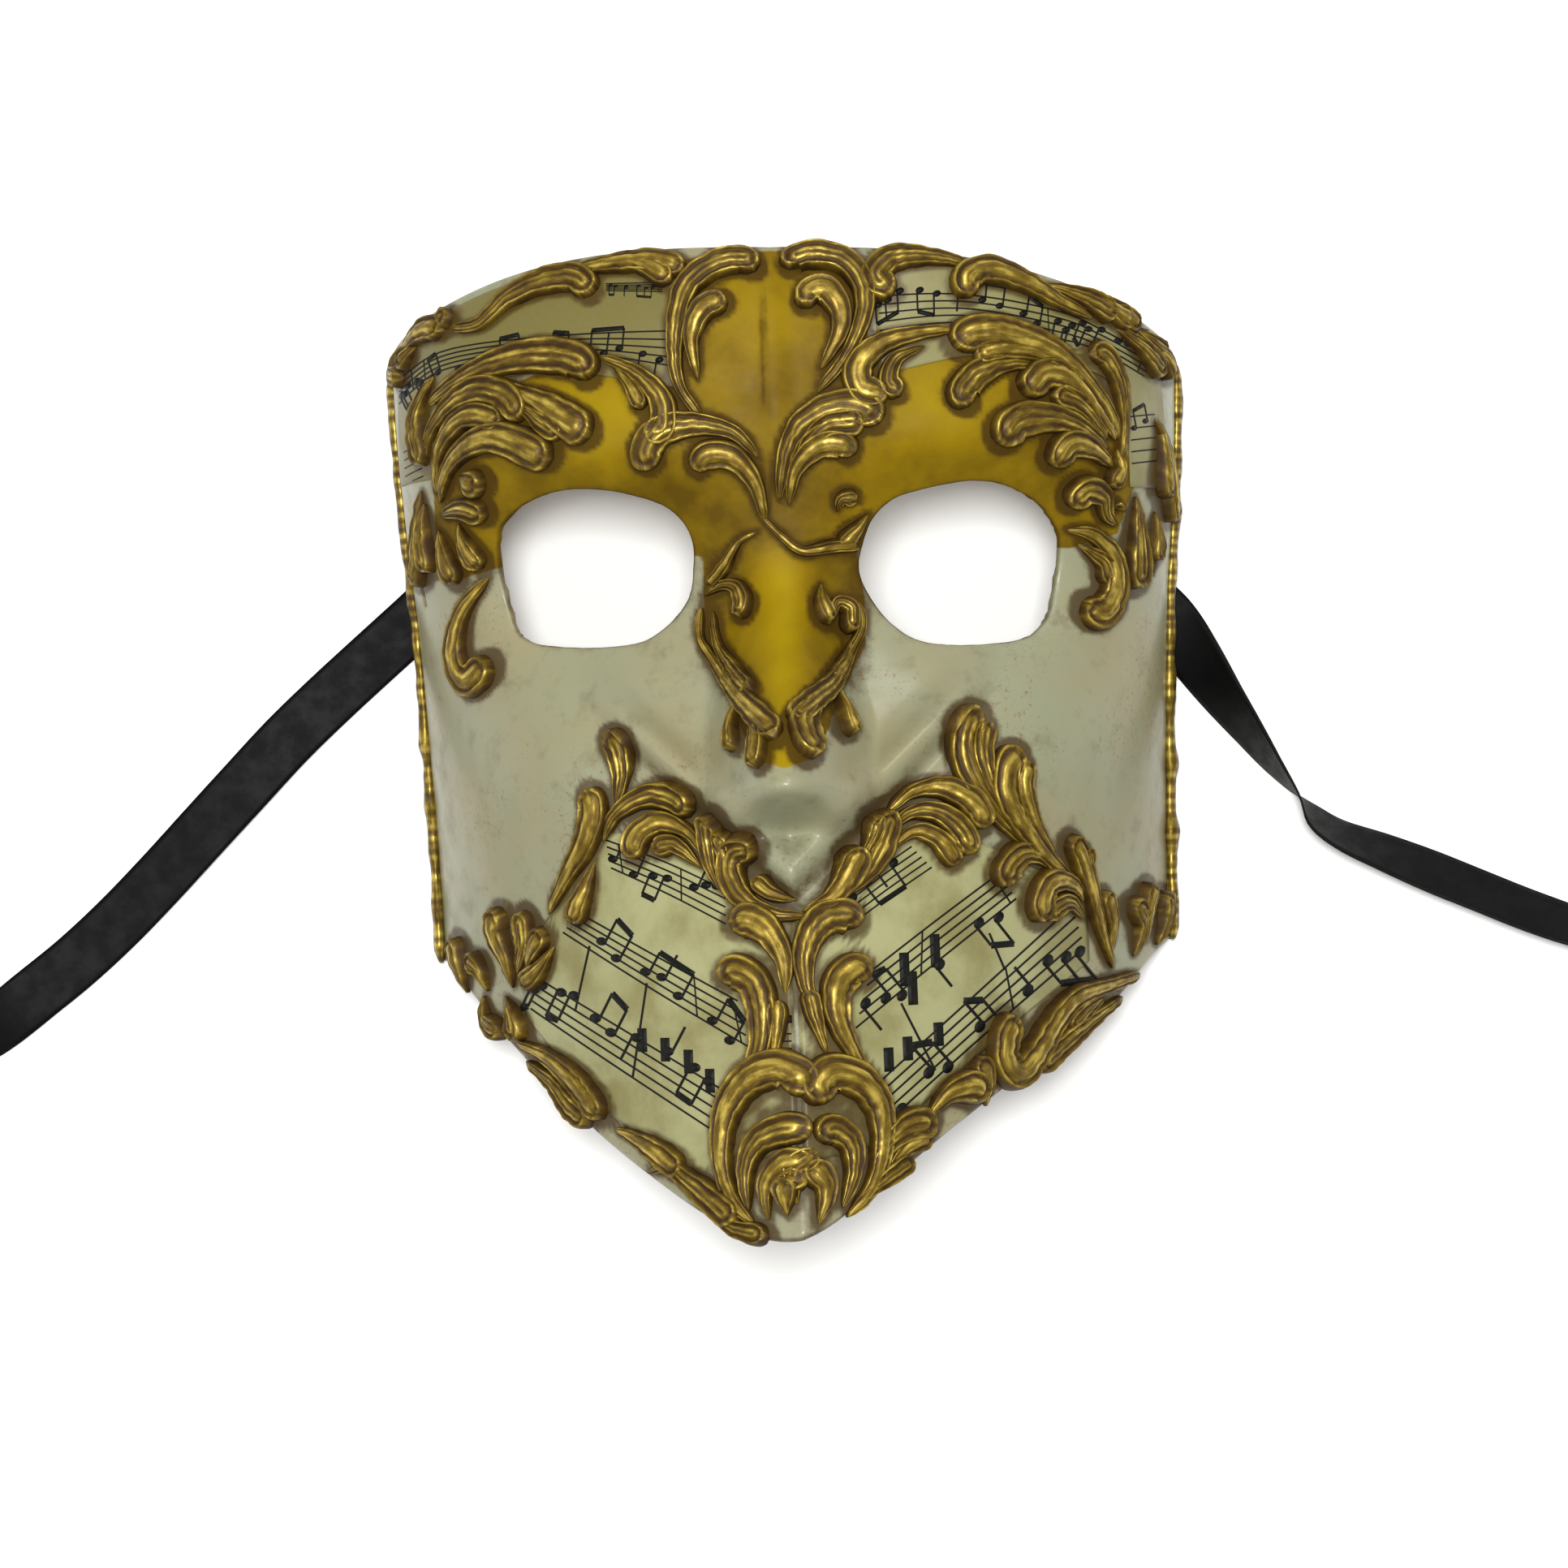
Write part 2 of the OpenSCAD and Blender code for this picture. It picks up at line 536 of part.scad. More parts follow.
module cartouche_left() relief(cartouche_left_strokes);
module cartouche_right() relief(cartouche_right_strokes);
module crest_left() relief(crest_left_strokes);
module crest_right() relief(crest_right_strokes);
module nose_scroll_left() relief(nose_left_strokes);
module nose_scroll_right() relief(nose_right_strokes);
module nose_tips() relief(nose_tip_strokes);
module brow_spray_left() relief(brow_left_strokes);
module brow_bud_left() relief(brow_bud_strokes);
module brow_curl_left() relief(brow_curl_strokes);
module temple_leaves_left() relief(temple_left_strokes);
module cheek_drop_left() relief(cheek_left_strokes);
module crown_scroll_left() relief(crown_left_strokes);
module corner_scroll_left() relief(corner_left_strokes);
module brow_scroll_right() relief(scroll_right_strokes);
module brow_spray_right() relief(brow_right_strokes);
module temple_scroll_right() relief(temple_right_strokes);
module side_leaves_right() relief(side_leaves_strokes);
module crown_scroll_right() relief(crown_right_strokes);
module corner_scroll_right() relief(corner_right_strokes);
module lip_leaves_left() relief(lip_left_strokes);
module lip_cup() relief(lip_cup_strokes);
module lip_arches_right() relief(lip_right_strokes);
module cheek_spray_right() relief(cheek_right_strokes);
module corner_leaves_right() relief(corner_leaves_right_strokes);
module jaw_scroll_right() relief(jaw_right_strokes);
module jaw_leaves_right() relief(jaw_leaves_right_strokes);
module chin_column_left() relief(column_left_strokes);
module chin_column_right() relief(column_right_strokes);
module rosette_left() relief(rosette_left_strokes);
module rosette_right() relief(rosette_right_strokes);
module chin_bud() relief(chin_bud_strokes);
module jaw_scroll_left() relief(jaw_left_strokes);
module jaw_leaves_left() relief(jaw_leaves_left_strokes);
module corner_leaves_left() relief(corner_leaves_left_strokes);

module paper_brow_left()
  sheet(
    [[-20, 103.5], [-44, 102.5], [-66, 97.5], [-82, 88.5], [-85, 60]],
    [[-20, 75], [-44, 80], [-64, 79], [-74, 73], [-75, 60]]
  );
module paper_brow_right()
  sheet(
    [[22, 76], [44, 80], [66, 77], [74, 70], [75, 52]],
    [[22, 102], [44, 99.5], [66, 92.5], [81, 83], [84, 52]]
  );
module paper_chin_left()
  sheet(
    [[-0.5, -38], [-14, -29], [-39, -18], [-50, -31], [-60, -46]],
    [[-0.5, -87], [-14, -86], [-22, -89], [-42, -77], [-60, -57]]
  );
module paper_chin_right()
  sheet(
    [[0.5, -87], [14, -85], [27, -76], [44, -63], [62, -50]],
    [[0.5, -38], [13, -30], [27, -20], [45, -26], [62, -36]]
  );

module side_border_left() side_border(-1);
module side_border_right() side_border(1);
module ribbon_left() ribbon(ribbon_left_route);
module ribbon_right() ribbon(ribbon_right_route);
module ribbon_coil_left() ribbon_coil(coil_left_at);
module ribbon_coil_right() ribbon_coil(coil_right_at);
module ribbon_knot_left() ribbon_knot(-1);
module ribbon_knot_right() ribbon_knot(1);

shell();
paper_brow_left();
paper_brow_right();
paper_chin_left();
paper_chin_right();
cartouche_left();
cartouche_right();
crest_left();
crest_right();
nose_scroll_left();
nose_scroll_right();
nose_tips();
brow_spray_left();
brow_bud_left();
brow_curl_left();
temple_leaves_left();
cheek_drop_left();
crown_scroll_left();
corner_scroll_left();
brow_scroll_right();
brow_spray_right();
temple_scroll_right();
side_leaves_right();
crown_scroll_right();
corner_scroll_right();
lip_leaves_left();
lip_cup();
lip_arches_right();
cheek_spray_right();
corner_leaves_left();
corner_leaves_right();
jaw_scroll_left();
jaw_scroll_right();
jaw_leaves_left();
jaw_leaves_right();
chin_column_left();
chin_column_right();
rosette_left();
rosette_right();
chin_bud();
side_border_left();
side_border_right();
ribbon_left();
ribbon_right();
ribbon_coil_left();
ribbon_coil_right();
ribbon_knot_left();
ribbon_knot_right();
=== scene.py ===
"""A bauta mask: painted papier-mache with gilt stucco relief, music-paper panels and satin ribbons.

Everything is built in millimetres in the row frame (x to the right, y to the crown, z out of the face)
and scaled to metres when a piece is made.
"""

import json
import math
import random

import bpy
import numpy as np
from mathutils import Matrix, Vector

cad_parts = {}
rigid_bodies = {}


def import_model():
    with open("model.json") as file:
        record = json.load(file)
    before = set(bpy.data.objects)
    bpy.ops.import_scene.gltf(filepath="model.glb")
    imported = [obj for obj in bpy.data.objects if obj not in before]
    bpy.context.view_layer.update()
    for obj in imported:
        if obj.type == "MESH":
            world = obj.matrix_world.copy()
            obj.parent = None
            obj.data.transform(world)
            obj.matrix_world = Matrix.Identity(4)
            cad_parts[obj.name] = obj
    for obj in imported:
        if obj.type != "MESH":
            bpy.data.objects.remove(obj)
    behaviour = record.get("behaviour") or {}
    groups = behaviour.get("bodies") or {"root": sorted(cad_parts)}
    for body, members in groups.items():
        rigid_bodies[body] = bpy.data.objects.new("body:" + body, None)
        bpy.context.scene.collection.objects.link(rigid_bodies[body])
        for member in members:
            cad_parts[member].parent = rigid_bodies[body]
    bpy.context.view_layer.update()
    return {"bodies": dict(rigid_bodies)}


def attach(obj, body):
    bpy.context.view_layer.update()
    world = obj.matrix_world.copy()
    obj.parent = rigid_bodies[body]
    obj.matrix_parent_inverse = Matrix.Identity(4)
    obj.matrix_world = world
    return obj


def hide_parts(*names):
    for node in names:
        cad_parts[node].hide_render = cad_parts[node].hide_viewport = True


MM = 0.001
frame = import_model()
BODY = next(iter(frame["bodies"]))


# ---- camera

PIVOT = Vector((0, -10, 45))
CAMERA_YAW = math.radians(2.0)
CAMERA_ROLL = math.radians(2.3)
CAMERA_FAR = 1100
CAMERA_SHIFT = (-2.1, 0.7)
SENSOR = 36
SEEN_WIDTH = 338.1


def make_camera():
    """Looks straight down on the face, with a slight turn and roll."""
    data = bpy.data.cameras.new("camera")
    data.sensor_width = SENSOR
    data.lens = SENSOR * CAMERA_FAR / SEEN_WIDTH
    data.clip_start = 0.05
    data.clip_end = 10
    camera = bpy.data.objects.new("camera", data)
    bpy.context.scene.collection.objects.link(camera)
    turn = Matrix.Rotation(CAMERA_ROLL, 3, "Z") @ Matrix.Rotation(-CAMERA_YAW, 3, "Y")
    back = turn.transposed()
    place = back @ Vector((CAMERA_SHIFT[0], CAMERA_SHIFT[1], CAMERA_FAR)) + PIVOT
    camera.matrix_world = Matrix.Translation(place * MM) @ back.to_4x4()
    bpy.context.scene.camera = camera
    return camera


make_camera()


# ---- small maths


def ease(a, b, t):
    f = np.clip((np.asarray(t, float) - a) / (b - a), 0, 1)
    return f * f * (3 - 2 * f)


def bell(t):
    return np.exp(-np.square(t))


def unit(v):
    return v / np.maximum(np.linalg.norm(v, axis=-1, keepdims=True), 1e-9)


def bend(a, b, c, d, f):
    """Catmull-Rom between b and c."""
    return b + 0.5 * f * (c - a + f * (2 * a - 5 * b + 4 * c - d + f * (3 * (b - c) + d - a)))


def curve_through(points, split, closed=False):
    """Catmull-Rom curve through the points, split steps a span."""
    p = np.asarray(points, float)
    n = len(p)
    spans = n if closed else n - 1
    made = []
    for i in range(spans):
        near = [(i + k) % n if closed else min(max(i + k, 0), n - 1) for k in (-1, 0, 1, 2)]
        for j in range(split):
            made.append(bend(*(p[k] for k in near), j / split))
    if not closed:
        made.append(p[-1])
    return np.array(made)


def run_along(points):
    """Distance from the first point to each point of a polyline."""
    return np.concatenate([[0], np.cumsum(np.linalg.norm(np.diff(points, axis=0), axis=1))])


def even_steps(points, step, count=None):
    """The polyline resampled at even steps. Returns points and distance along."""
    p = np.asarray(points, float)
    run = run_along(p)
    n = count or max(3, int(round(run[-1] / step)) + 1)
    at = np.linspace(0, run[-1], n)
    return np.stack([np.interp(at, run, p[:, k]) for k in range(p.shape[1])], 1), at


class Wobble:
    """Smooth repeatable noise along a length."""

    def __init__(self, seed, size):
        pick = random.Random(seed)
        self.waves = [(pick.uniform(0.6, 1.7) / size, pick.uniform(0, 6.3)) for _ in range(4)]

    def __call__(self, t):
        return sum(np.sin(2 * math.pi * f * np.asarray(t) + p) for f, p in self.waves) / 4


# ---- the face: tables by height, then a formula for each feature

TABLE_STEP = 20
TABLE_START = -110
MIDDLE_Z = np.array([98.5, 94.5, 90.5, 86.5, 81, 72, 64, 61.5, 64.5, 67.5, 66.5, 61])
HALF_W = np.array([79, 80, 81, 81.5, 81.8, 82.2, 82.8, 83.8, 85.6, 86.9, 87, 84])
SECTION = np.array([1.3, 1.3, 1.35, 1.45, 1.6, 1.85, 2.1, 2.3, 2.4, 2.4, 2.35, 2.3])
RIM_LIFT = 2.6
WALL = 2.4


def read(table, y):
    last = len(table) - 1
    p = np.clip((np.asarray(y, float) - TABLE_START) / TABLE_STEP, 0, last - 0.001)
    i = np.floor(p).astype(int)
    around = [table[np.clip(i + k, 0, last)] for k in (-1, 0, 1, 2)]
    return bend(*around, p - i)


def nose_height(y):
    return 26 * ease(50, -8, y) ** 1.25 * ease(-21, -9, y)


def nose(x, y):
    t = np.minimum(1, x / (10 + 9 * ease(40, -6, y)))
    return nose_height(y) * (1 - t * t) ** 1.5


def lip(x, y):
    d = y - (-29 + 0.95 * x)
    return (1 - ease(32, 46, x)) * (4.5 * bell((d - 2.5) / 5.5) - 1.5 * bell((d + 5) / 3))


def foot(y):
    return RIM_LIFT * ease(-16, 8, y) * (1 - ease(36, 60, y))


def ripple(x, y):
    """Hand-laid papier-mache is never quite even."""
    slow = np.sin(x / 9.1 + 0.7 * np.sin(y / 13.0)) * np.sin(y / 10.7 + 1.3)
    fast = np.sin(x / 4.3 + y / 6.1) * np.sin(y / 4.9 - x / 7.7 + 0.6)
    return 0.16 * slow + 0.06 * fast


def features(x, y):
    a = np.abs(x)
    socket = -7 * bell(np.hypot((a - 38) / 24, (y - 37) / 20) ** 1.6)
    brow = 3 * bell((a - 40) / 26) * bell((y - 62) / 10)
    cheek = 5 * bell((a - 50) / 20) * bell((y + 4) / 18)
    crease = -0.8 * bell(a / 2.5) * ease(58, 72, y)
    return socket + brow + cheek + nose(a, y) + lip(a, y) + crease + ripple(x, y)


def face_z(x, y):
    s = np.minimum(1, np.abs(x) / read(HALF_W, y))
    n = read(SECTION, y)
    dome = (1 - s**n) ** (1 / n)
    fade = np.minimum(1, (1 - s) * 6)
    return read(MIDDLE_Z, y) * dome + foot(y) * (1 - dome) + fade * features(x, y)


def on_face(x, y):
    x, y = np.asarray(x, float), np.asarray(y, float)
    return np.stack([x, y, np.maximum(face_z(x, y), 0)], -1)


def upward(surface, x, y, e):
    """The outward direction at a point of a surface, from points e to each side of it."""
    return unit(np.cross(surface(x + e, y) - surface(x - e, y), surface(x, y + e) - surface(x, y - e)))


def face_up(x, y):
    return upward(on_face, x, y, 0.5)


def crown_y(s):
    return 104.4 - 18.5 * np.abs(s) ** 3.2 - 3.4 * s


JAW_LINE = np.array([-45, -62, -78, -90.5, -99.8, -102, -93, -81.8, -71.3, -61.3, -46.5])


def jaw_y(s):
    p = np.clip((s + 1) * 5, 0, 9.999)
    i = np.floor(p).astype(int)
    return bend(*(JAW_LINE[np.clip(i + k, 0, 10)] for k in (-1, 0, 1, 2)), p - i)


EYE_RIGHT = [
    (21.5, 3), (20.5, 8), (16.5, 13), (10, 16.5), (3, 17.5), (-5, 16.5), (-13, 14.5), (-18, 10.5),
    (-20.5, 5), (-21.5, 0), (-20, -5), (-15.5, -11.5), (-8.5, -16), (2.5, -17), (13, -16), (18, -12),
    (20, -5.5),
]
EYE_LEFT = [
    (21.5, 3), (21, 9.5), (18.5, 12.5), (14.5, 15), (7.5, 17), (-0.5, 17), (-8, 15.5), (-15, 13),
    (-19, 9.5), (-21, 5), (-21, 0), (-19.5, -7), (-14, -13), (-7, -16), (7, -16), (17, -13.5), (20, -6),
]
EYE_AT = {-1: (-40.2, 38), 1: (37.8, 36)}
SLOT_AT = (36, 25)
SLOT_HALF = (3.5, 1.3)


def eye_outline(side, grow=0.0):
    local = curve_through(EYE_LEFT if side < 0 else EYE_RIGHT, 8, closed=True) * (1 + grow / 19)
    return np.stack([EYE_AT[side][0] + side * local[:, 0], EYE_AT[side][1] + local[:, 1]], 1)


def outline_field(outline, xy):
    """Signed distance to a closed outline, positive outside, and the nearest point on it."""
    a, b = outline, np.roll(outline, -1, 0)
    ab = b - a
    rel = xy[:, None, :] - a[None]
    t = np.clip((rel * ab).sum(-1) / (ab * ab).sum(-1), 0, 1)
    near = a[None] + ab[None] * t[..., None]
    gap = np.linalg.norm(xy[:, None, :] - near, axis=-1)
    best = gap.argmin(1)
    rows = np.arange(len(xy))
    y = xy[:, 1][:, None]
    cross = (a[None, :, 1] > y) != (b[None, :, 1] > y)
    step = np.where(np.abs(ab[:, 1]) < 1e-9, 1e-9, ab[:, 1])
    meet = a[None, :, 0] + (y - a[None, :, 1]) / step * ab[None, :, 0]
    inside = (cross & (xy[:, 0][:, None] < meet)).sum(1) % 2 == 1
    return np.where(inside, -1, 1) * gap[rows, best], near[rows, best]


# ---- node materials


def tone(r, g, b):
    """A colour named by its 0 to 255 screen values, as the linear colour that a shader takes."""
    made = []
    for c in (r, g, b):
        v = c / 255
        made.append(v / 12.92 if v <= 0.04045 else ((v + 0.055) / 1.055) ** 2.4)
    return (*made, 1.0)


class Paint:
    """Small helper to build a node material."""

    def __init__(self, name):
        self.material = bpy.data.materials.new(name)
        self.material.use_nodes = True
        self.tree = self.material.node_tree
        self.shader = self.tree.nodes["Principled BSDF"]
        self.place = self.node("ShaderNodeTexCoord").outputs["Object"]

    def node(self, kind, **settings):
        made = self.tree.nodes.new(kind)
        for key, value in settings.items():
            setattr(made, key, value)
        return made

    def feed(self, socket, value):
        if isinstance(value, bpy.types.NodeSocket):
            self.tree.links.new(value, socket)
        else:
            socket.default_value = value

    def value(self, name):
        return self.node("ShaderNodeAttribute", attribute_name=name).outputs["Fac"]

    def noise(self, scale, detail=4.0, rough=0.55, stretch=None):
        """Noise from 0 to 1 whose features are about 1 / scale millimetres."""
        spot = self.place
        if stretch is not None:
            mapping = self.node("ShaderNodeMapping")
            self.feed(mapping.inputs["Vector"], spot)
            mapping.inputs["Scale"].default_value = stretch
            spot = mapping.outputs["Vector"]
        made = self.node("ShaderNodeTexNoise")
        self.feed(made.inputs["Vector"], spot)
        made.inputs["Scale"].default_value = scale / MM
        made.inputs["Detail"].default_value = detail
        made.inputs["Roughness"].default_value = rough
        return made.outputs["Fac"]

    def math(self, operation, a, b=0.0):
        made = self.node("ShaderNodeMath", operation=operation)
        self.feed(made.inputs[0], a)
        self.feed(made.inputs[1], b)
        return made.outputs[0]

    def plus(self, a, b):
        return self.math("ADD", a, b)

    def times(self, a, b):
        return self.math("MULTIPLY", a, b)

    def stir(self, value, noise, amount):
        """The value moved up and down by the noise."""
        return self.plus(value, self.times(self.math("SUBTRACT", noise, 0.5), amount))

    def ramp(self, value, low, high, to_low=0.0, to_high=1.0):
        made = self.node("ShaderNodeMapRange", clamp=True, interpolation_type="SMOOTHSTEP")
        self.feed(made.inputs["Value"], value)
        made.inputs["From Min"].default_value = low
        made.inputs["From Max"].default_value = high
        made.inputs["To Min"].default_value = to_low
        made.inputs["To Max"].default_value = to_high
        return made.outputs["Result"]

    def mix(self, factor, a, b):
        made = self.node("ShaderNodeMix", data_type="RGBA")
        self.feed(made.inputs["Factor"], factor)
        self.feed(made.inputs[6], a)
        self.feed(made.inputs[7], b)
        return made.outputs[2]

    def ridges(self, value, stops):
        made = self.node("ShaderNodeValToRGB")
        self.feed(made.inputs["Fac"], value)
        points = made.color_ramp.elements
        while len(points) < len(stops):
            points.new(0.5)
        for point, (at, color) in zip(points, stops):
            point.position = at
            point.color = color
        return made.outputs["Color"]

    def bump(self, height, depth, strength=1.0, after=None):
        made = self.node("ShaderNodeBump")
        made.inputs["Strength"].default_value = strength
        made.inputs["Distance"].default_value = depth * MM
        self.feed(made.inputs["Height"], height)
        if after is not None:
            self.feed(made.inputs["Normal"], after)
        return made.outputs["Normal"]

    def finish(self, **inputs):
        for name, value in inputs.items():
            self.feed(self.shader.inputs[name.replace("_", " ")], value)
        return self.material


UMBER = tone(48, 29, 0)
DARK_GOLD = tone(68, 49, 7)
OLIVE_GOLD = tone(108, 87, 21)
HIGHLIGHT_GOLD = tone(192, 167, 76)
FIELD_DARK = tone(82, 62, 6)
FIELD_GOLD = tone(124, 100, 6)
FIELD_HIGHLIGHT = tone(140, 118, 8)
IVORY = tone(130, 132, 106)
IVORY_WARM = tone(134, 128, 97)
IVORY_DARK = tone(108, 104, 76)
PAPER = tone(147, 146, 105)
PAPER_DARK = tone(120, 114, 72)
PAPER_GREY = tone(104, 96, 52)
PAPER_FIBRE = tone(140, 126, 84)
PAPER_WASH_AND_SHADE = tone(62, 44, 10)
WASH_AND_SHADE_BROWN = tone(60, 42, 8)
SPECK = tone(112, 88, 52)
PULP_DARK = tone(120, 104, 82)
PULP = tone(146, 130, 104)
PULP_LIGHT = tone(162, 148, 122)
PULP_FIBRE = tone(96, 80, 60)
INK = tone(10, 10, 8)
INK_THIN = tone(34, 31, 22)
SATIN_DARK = tone(1, 1, 1)
SATIN_LIGHT = tone(5, 5, 6)
FLOOR = tone(238, 238, 236)
FLOOR_LIGHT = tone(242, 242, 241)
RIB_PITCH = 0.35
THREAD_PITCH = 0.3


def painted_shell():
    """Ivory varnish with a gilt field that carries a painted highlight, and a brown wash with painted
    shade beside the relief.
    """
    p = Paint("painted_mache")
    gold, wash = p.value("gold"), p.value("wash")
    cloud = p.noise(0.03, 3)
    mottle = p.noise(0.16, 6, 0.65)
    fine = p.noise(1.3, 4, 0.6)
    ivory = p.mix(p.ramp(cloud, 0.35, 0.65), IVORY, IVORY_WARM)
    ivory = p.mix(p.ramp(mottle, 0.5, 0.75, 0, 0.6), ivory, IVORY_DARK)
    specks = p.times(p.ramp(p.noise(0.9, 3, 0.7), 0.56, 0.68), p.ramp(p.noise(0.045, 2), 0.46, 0.62))
    ivory = p.mix(p.times(specks, 0.75), ivory, SPECK)
    # The gilt field is painted lighter on the brows, the nose ridge and the cartouche: a painted
    # highlight.
    field = p.ridges(
        p.plus(p.times(p.noise(0.05, 4, 0.6), 0.7), p.times(p.value("glow"), 0.45)),
        [(0.25, FIELD_DARK), (0.5, FIELD_GOLD), (0.8, FIELD_HIGHLIGHT)],
    )
    gold_edge = p.ramp(p.stir(gold, mottle, 0.5), 0.38, 0.62)
    color = p.mix(gold_edge, ivory, field)
    # Brown wash and painted shade: beside the relief, in the forehead crease, under the lip, beside the
    # nose and round the eyes.
    color = p.mix(p.ramp(p.stir(wash, mottle, 1.1), 0.2, 0.95, 0, 0.9), color, WASH_AND_SHADE_BROWN)
    dull = p.plus(p.ramp(mottle, 0.3, 0.7, 0.3, 0.44), p.times(gold_edge, 0.12))
    coarse = p.bump(p.noise(0.12, 3), 0.35, 0.6)
    return p.finish(
        Base_Color=color,
        Specular_IOR_Level=p.ramp(gold_edge, 0, 1, 0.3, 0.07),
        Roughness=p.plus(dull, p.times(wash, 0.2)),
        Normal=p.bump(fine, 0.05, 0.5, after=coarse),
        Coat_Weight=p.ramp(gold_edge, 0, 1, 0.12, 0.0),
        Coat_Roughness=0.15,
    )


def raw_shell():
    """Unpainted pulp of the inner side."""
    p = Paint("raw_mache")
    torn = p.noise(0.09, 5, 0.6)
    fibre = p.noise(0.7, 6, 0.7, stretch=(1, 0.35, 1))
    color = p.ridges(torn, [(0.3, PULP_DARK), (0.5, PULP), (0.7, PULP_LIGHT)])
    color = p.mix(p.ramp(fibre, 0.45, 0.75, 0, 0.5), color, PULP_FIBRE)
    rough = p.bump(torn, 0.5, 0.8)
    return p.finish(
        Base_Color=color,
        Roughness=p.ramp(fibre, 0.3, 0.7, 0.75, 0.95),
        Normal=p.bump(fibre, 0.2, 0.7, after=rough),
    )


def gilt_relief():
    """Gold rubbed over an umber wash, with a painted highlight on the ridges and painted shade on the
    walls and down in the grooves.
    """
    p = Paint("gilt_stucco")
    streak_at = p.node("ShaderNodeCombineXYZ")
    p.feed(streak_at.inputs[0], p.times(p.value("along"), 0.16))
    p.feed(streak_at.inputs[1], p.times(p.value("across"), 0.8))
    p.feed(streak_at.inputs[2], p.value("seed"))
    streak = p.node("ShaderNodeTexNoise")
    p.feed(streak.inputs["Vector"], streak_at.outputs[0])
    streak.inputs["Scale"].default_value = 1.0
    streak.inputs["Detail"].default_value = 5
    streak = streak.outputs["Fac"]
    worn = p.noise(0.35, 5, 0.65)
    level = p.stir(p.stir(p.times(p.value("ridge"), 0.82), streak, 1.3), worn, 0.55)
    # Umber on the walls and in the grooves is wash and painted shade; the bright gold on the ridges
    # carries a painted highlight.
    stops = [(0.08, UMBER), (0.34, DARK_GOLD), (0.62, OLIVE_GOLD), (0.98, HIGHLIGHT_GOLD)]
    return p.finish(
        Base_Color=p.ridges(level, stops),
        Metallic=p.ramp(level, 0.15, 0.9, 0.1, 0.5),
        Specular_IOR_Level=0.25,
        Roughness=p.ramp(level, 0.1, 0.9, 0.6, 0.36),
        Normal=p.bump(p.plus(streak, p.times(worn, 0.6)), 0.14, 0.7),
    )


def music_paper():
    """Aged glued-down paper under varnish, with brown wash and painted shade beside the relief."""
    p = Paint("music_paper")
    cloud = p.noise(0.06, 5, 0.6)
    fibre = p.noise(1.6, 5, 0.7)
    color = p.mix(p.ramp(cloud, 0.35, 0.7), PAPER, PAPER_DARK)
    color = p.mix(p.value("grey"), color, PAPER_GREY)
    color = p.mix(p.ramp(fibre, 0.5, 0.8, 0, 0.25), color, PAPER_FIBRE)
    # Brown wash and painted shade beside the relief.
    washed = p.stir(p.value("wash"), p.noise(0.3, 5, 0.65), 0.4)
    color = p.mix(p.ramp(washed, 0.25, 1.0, 0, 0.9), color, PAPER_WASH_AND_SHADE)
    return p.finish(
        Base_Color=color,
        Roughness=p.ramp(cloud, 0.3, 0.7, 0.3, 0.45),
        Normal=p.bump(p.plus(cloud, p.times(fibre, 0.3)), 0.1, 0.6),
        Specular_IOR_Level=0.25,
    )


def printed_ink():
    p = Paint("printed_ink")
    thin = p.noise(0.8, 4, 0.7)
    color = p.mix(p.ramp(thin, 0.45, 0.8, 0, 0.7), INK, INK_THIN)
    return p.finish(Base_Color=color, Roughness=p.ramp(thin, 0.3, 0.7, 0.5, 0.65), Specular_IOR_Level=0.15)


def black_satin():
    """Fine weft ribs across the ribbon with a soft sheen."""
    p = Paint("black_satin")
    rib = p.math("SINE", p.times(p.value("along"), 2 * math.pi / RIB_PITCH))
    thread = p.math("SINE", p.times(p.value("across"), 2 * math.pi / THREAD_PITCH))
    weave = p.plus(p.times(rib, 0.5), p.times(thread, 0.3))
    cloud = p.noise(0.25, 4, 0.6)
    color = p.mix(p.ramp(weave, -0.6, 0.8), SATIN_DARK, SATIN_LIGHT)
    return p.finish(
        Base_Color=color,
        Roughness=p.ramp(cloud, 0.3, 0.7, 0.5, 0.66),
        Specular_IOR_Level=0.12,
        Normal=p.bump(weave, 0.03, 0.5, after=p.bump(cloud, 0.15, 0.4)),
    )


def pale_floor():
    p = Paint("pale_floor")
    cloud = p.noise(0.02, 3)
    return p.finish(
        Base_Color=p.mix(cloud, FLOOR, FLOOR_LIGHT),
        Roughness=p.ramp(cloud, 0.3, 0.7, 0.7, 0.8),
    )


SHELL_PAINT = painted_shell()
SHELL_RAW = raw_shell()
GILT = gilt_relief()
SHEET = music_paper()
INKED = printed_ink()
SATIN = black_satin()


# ---- making pieces


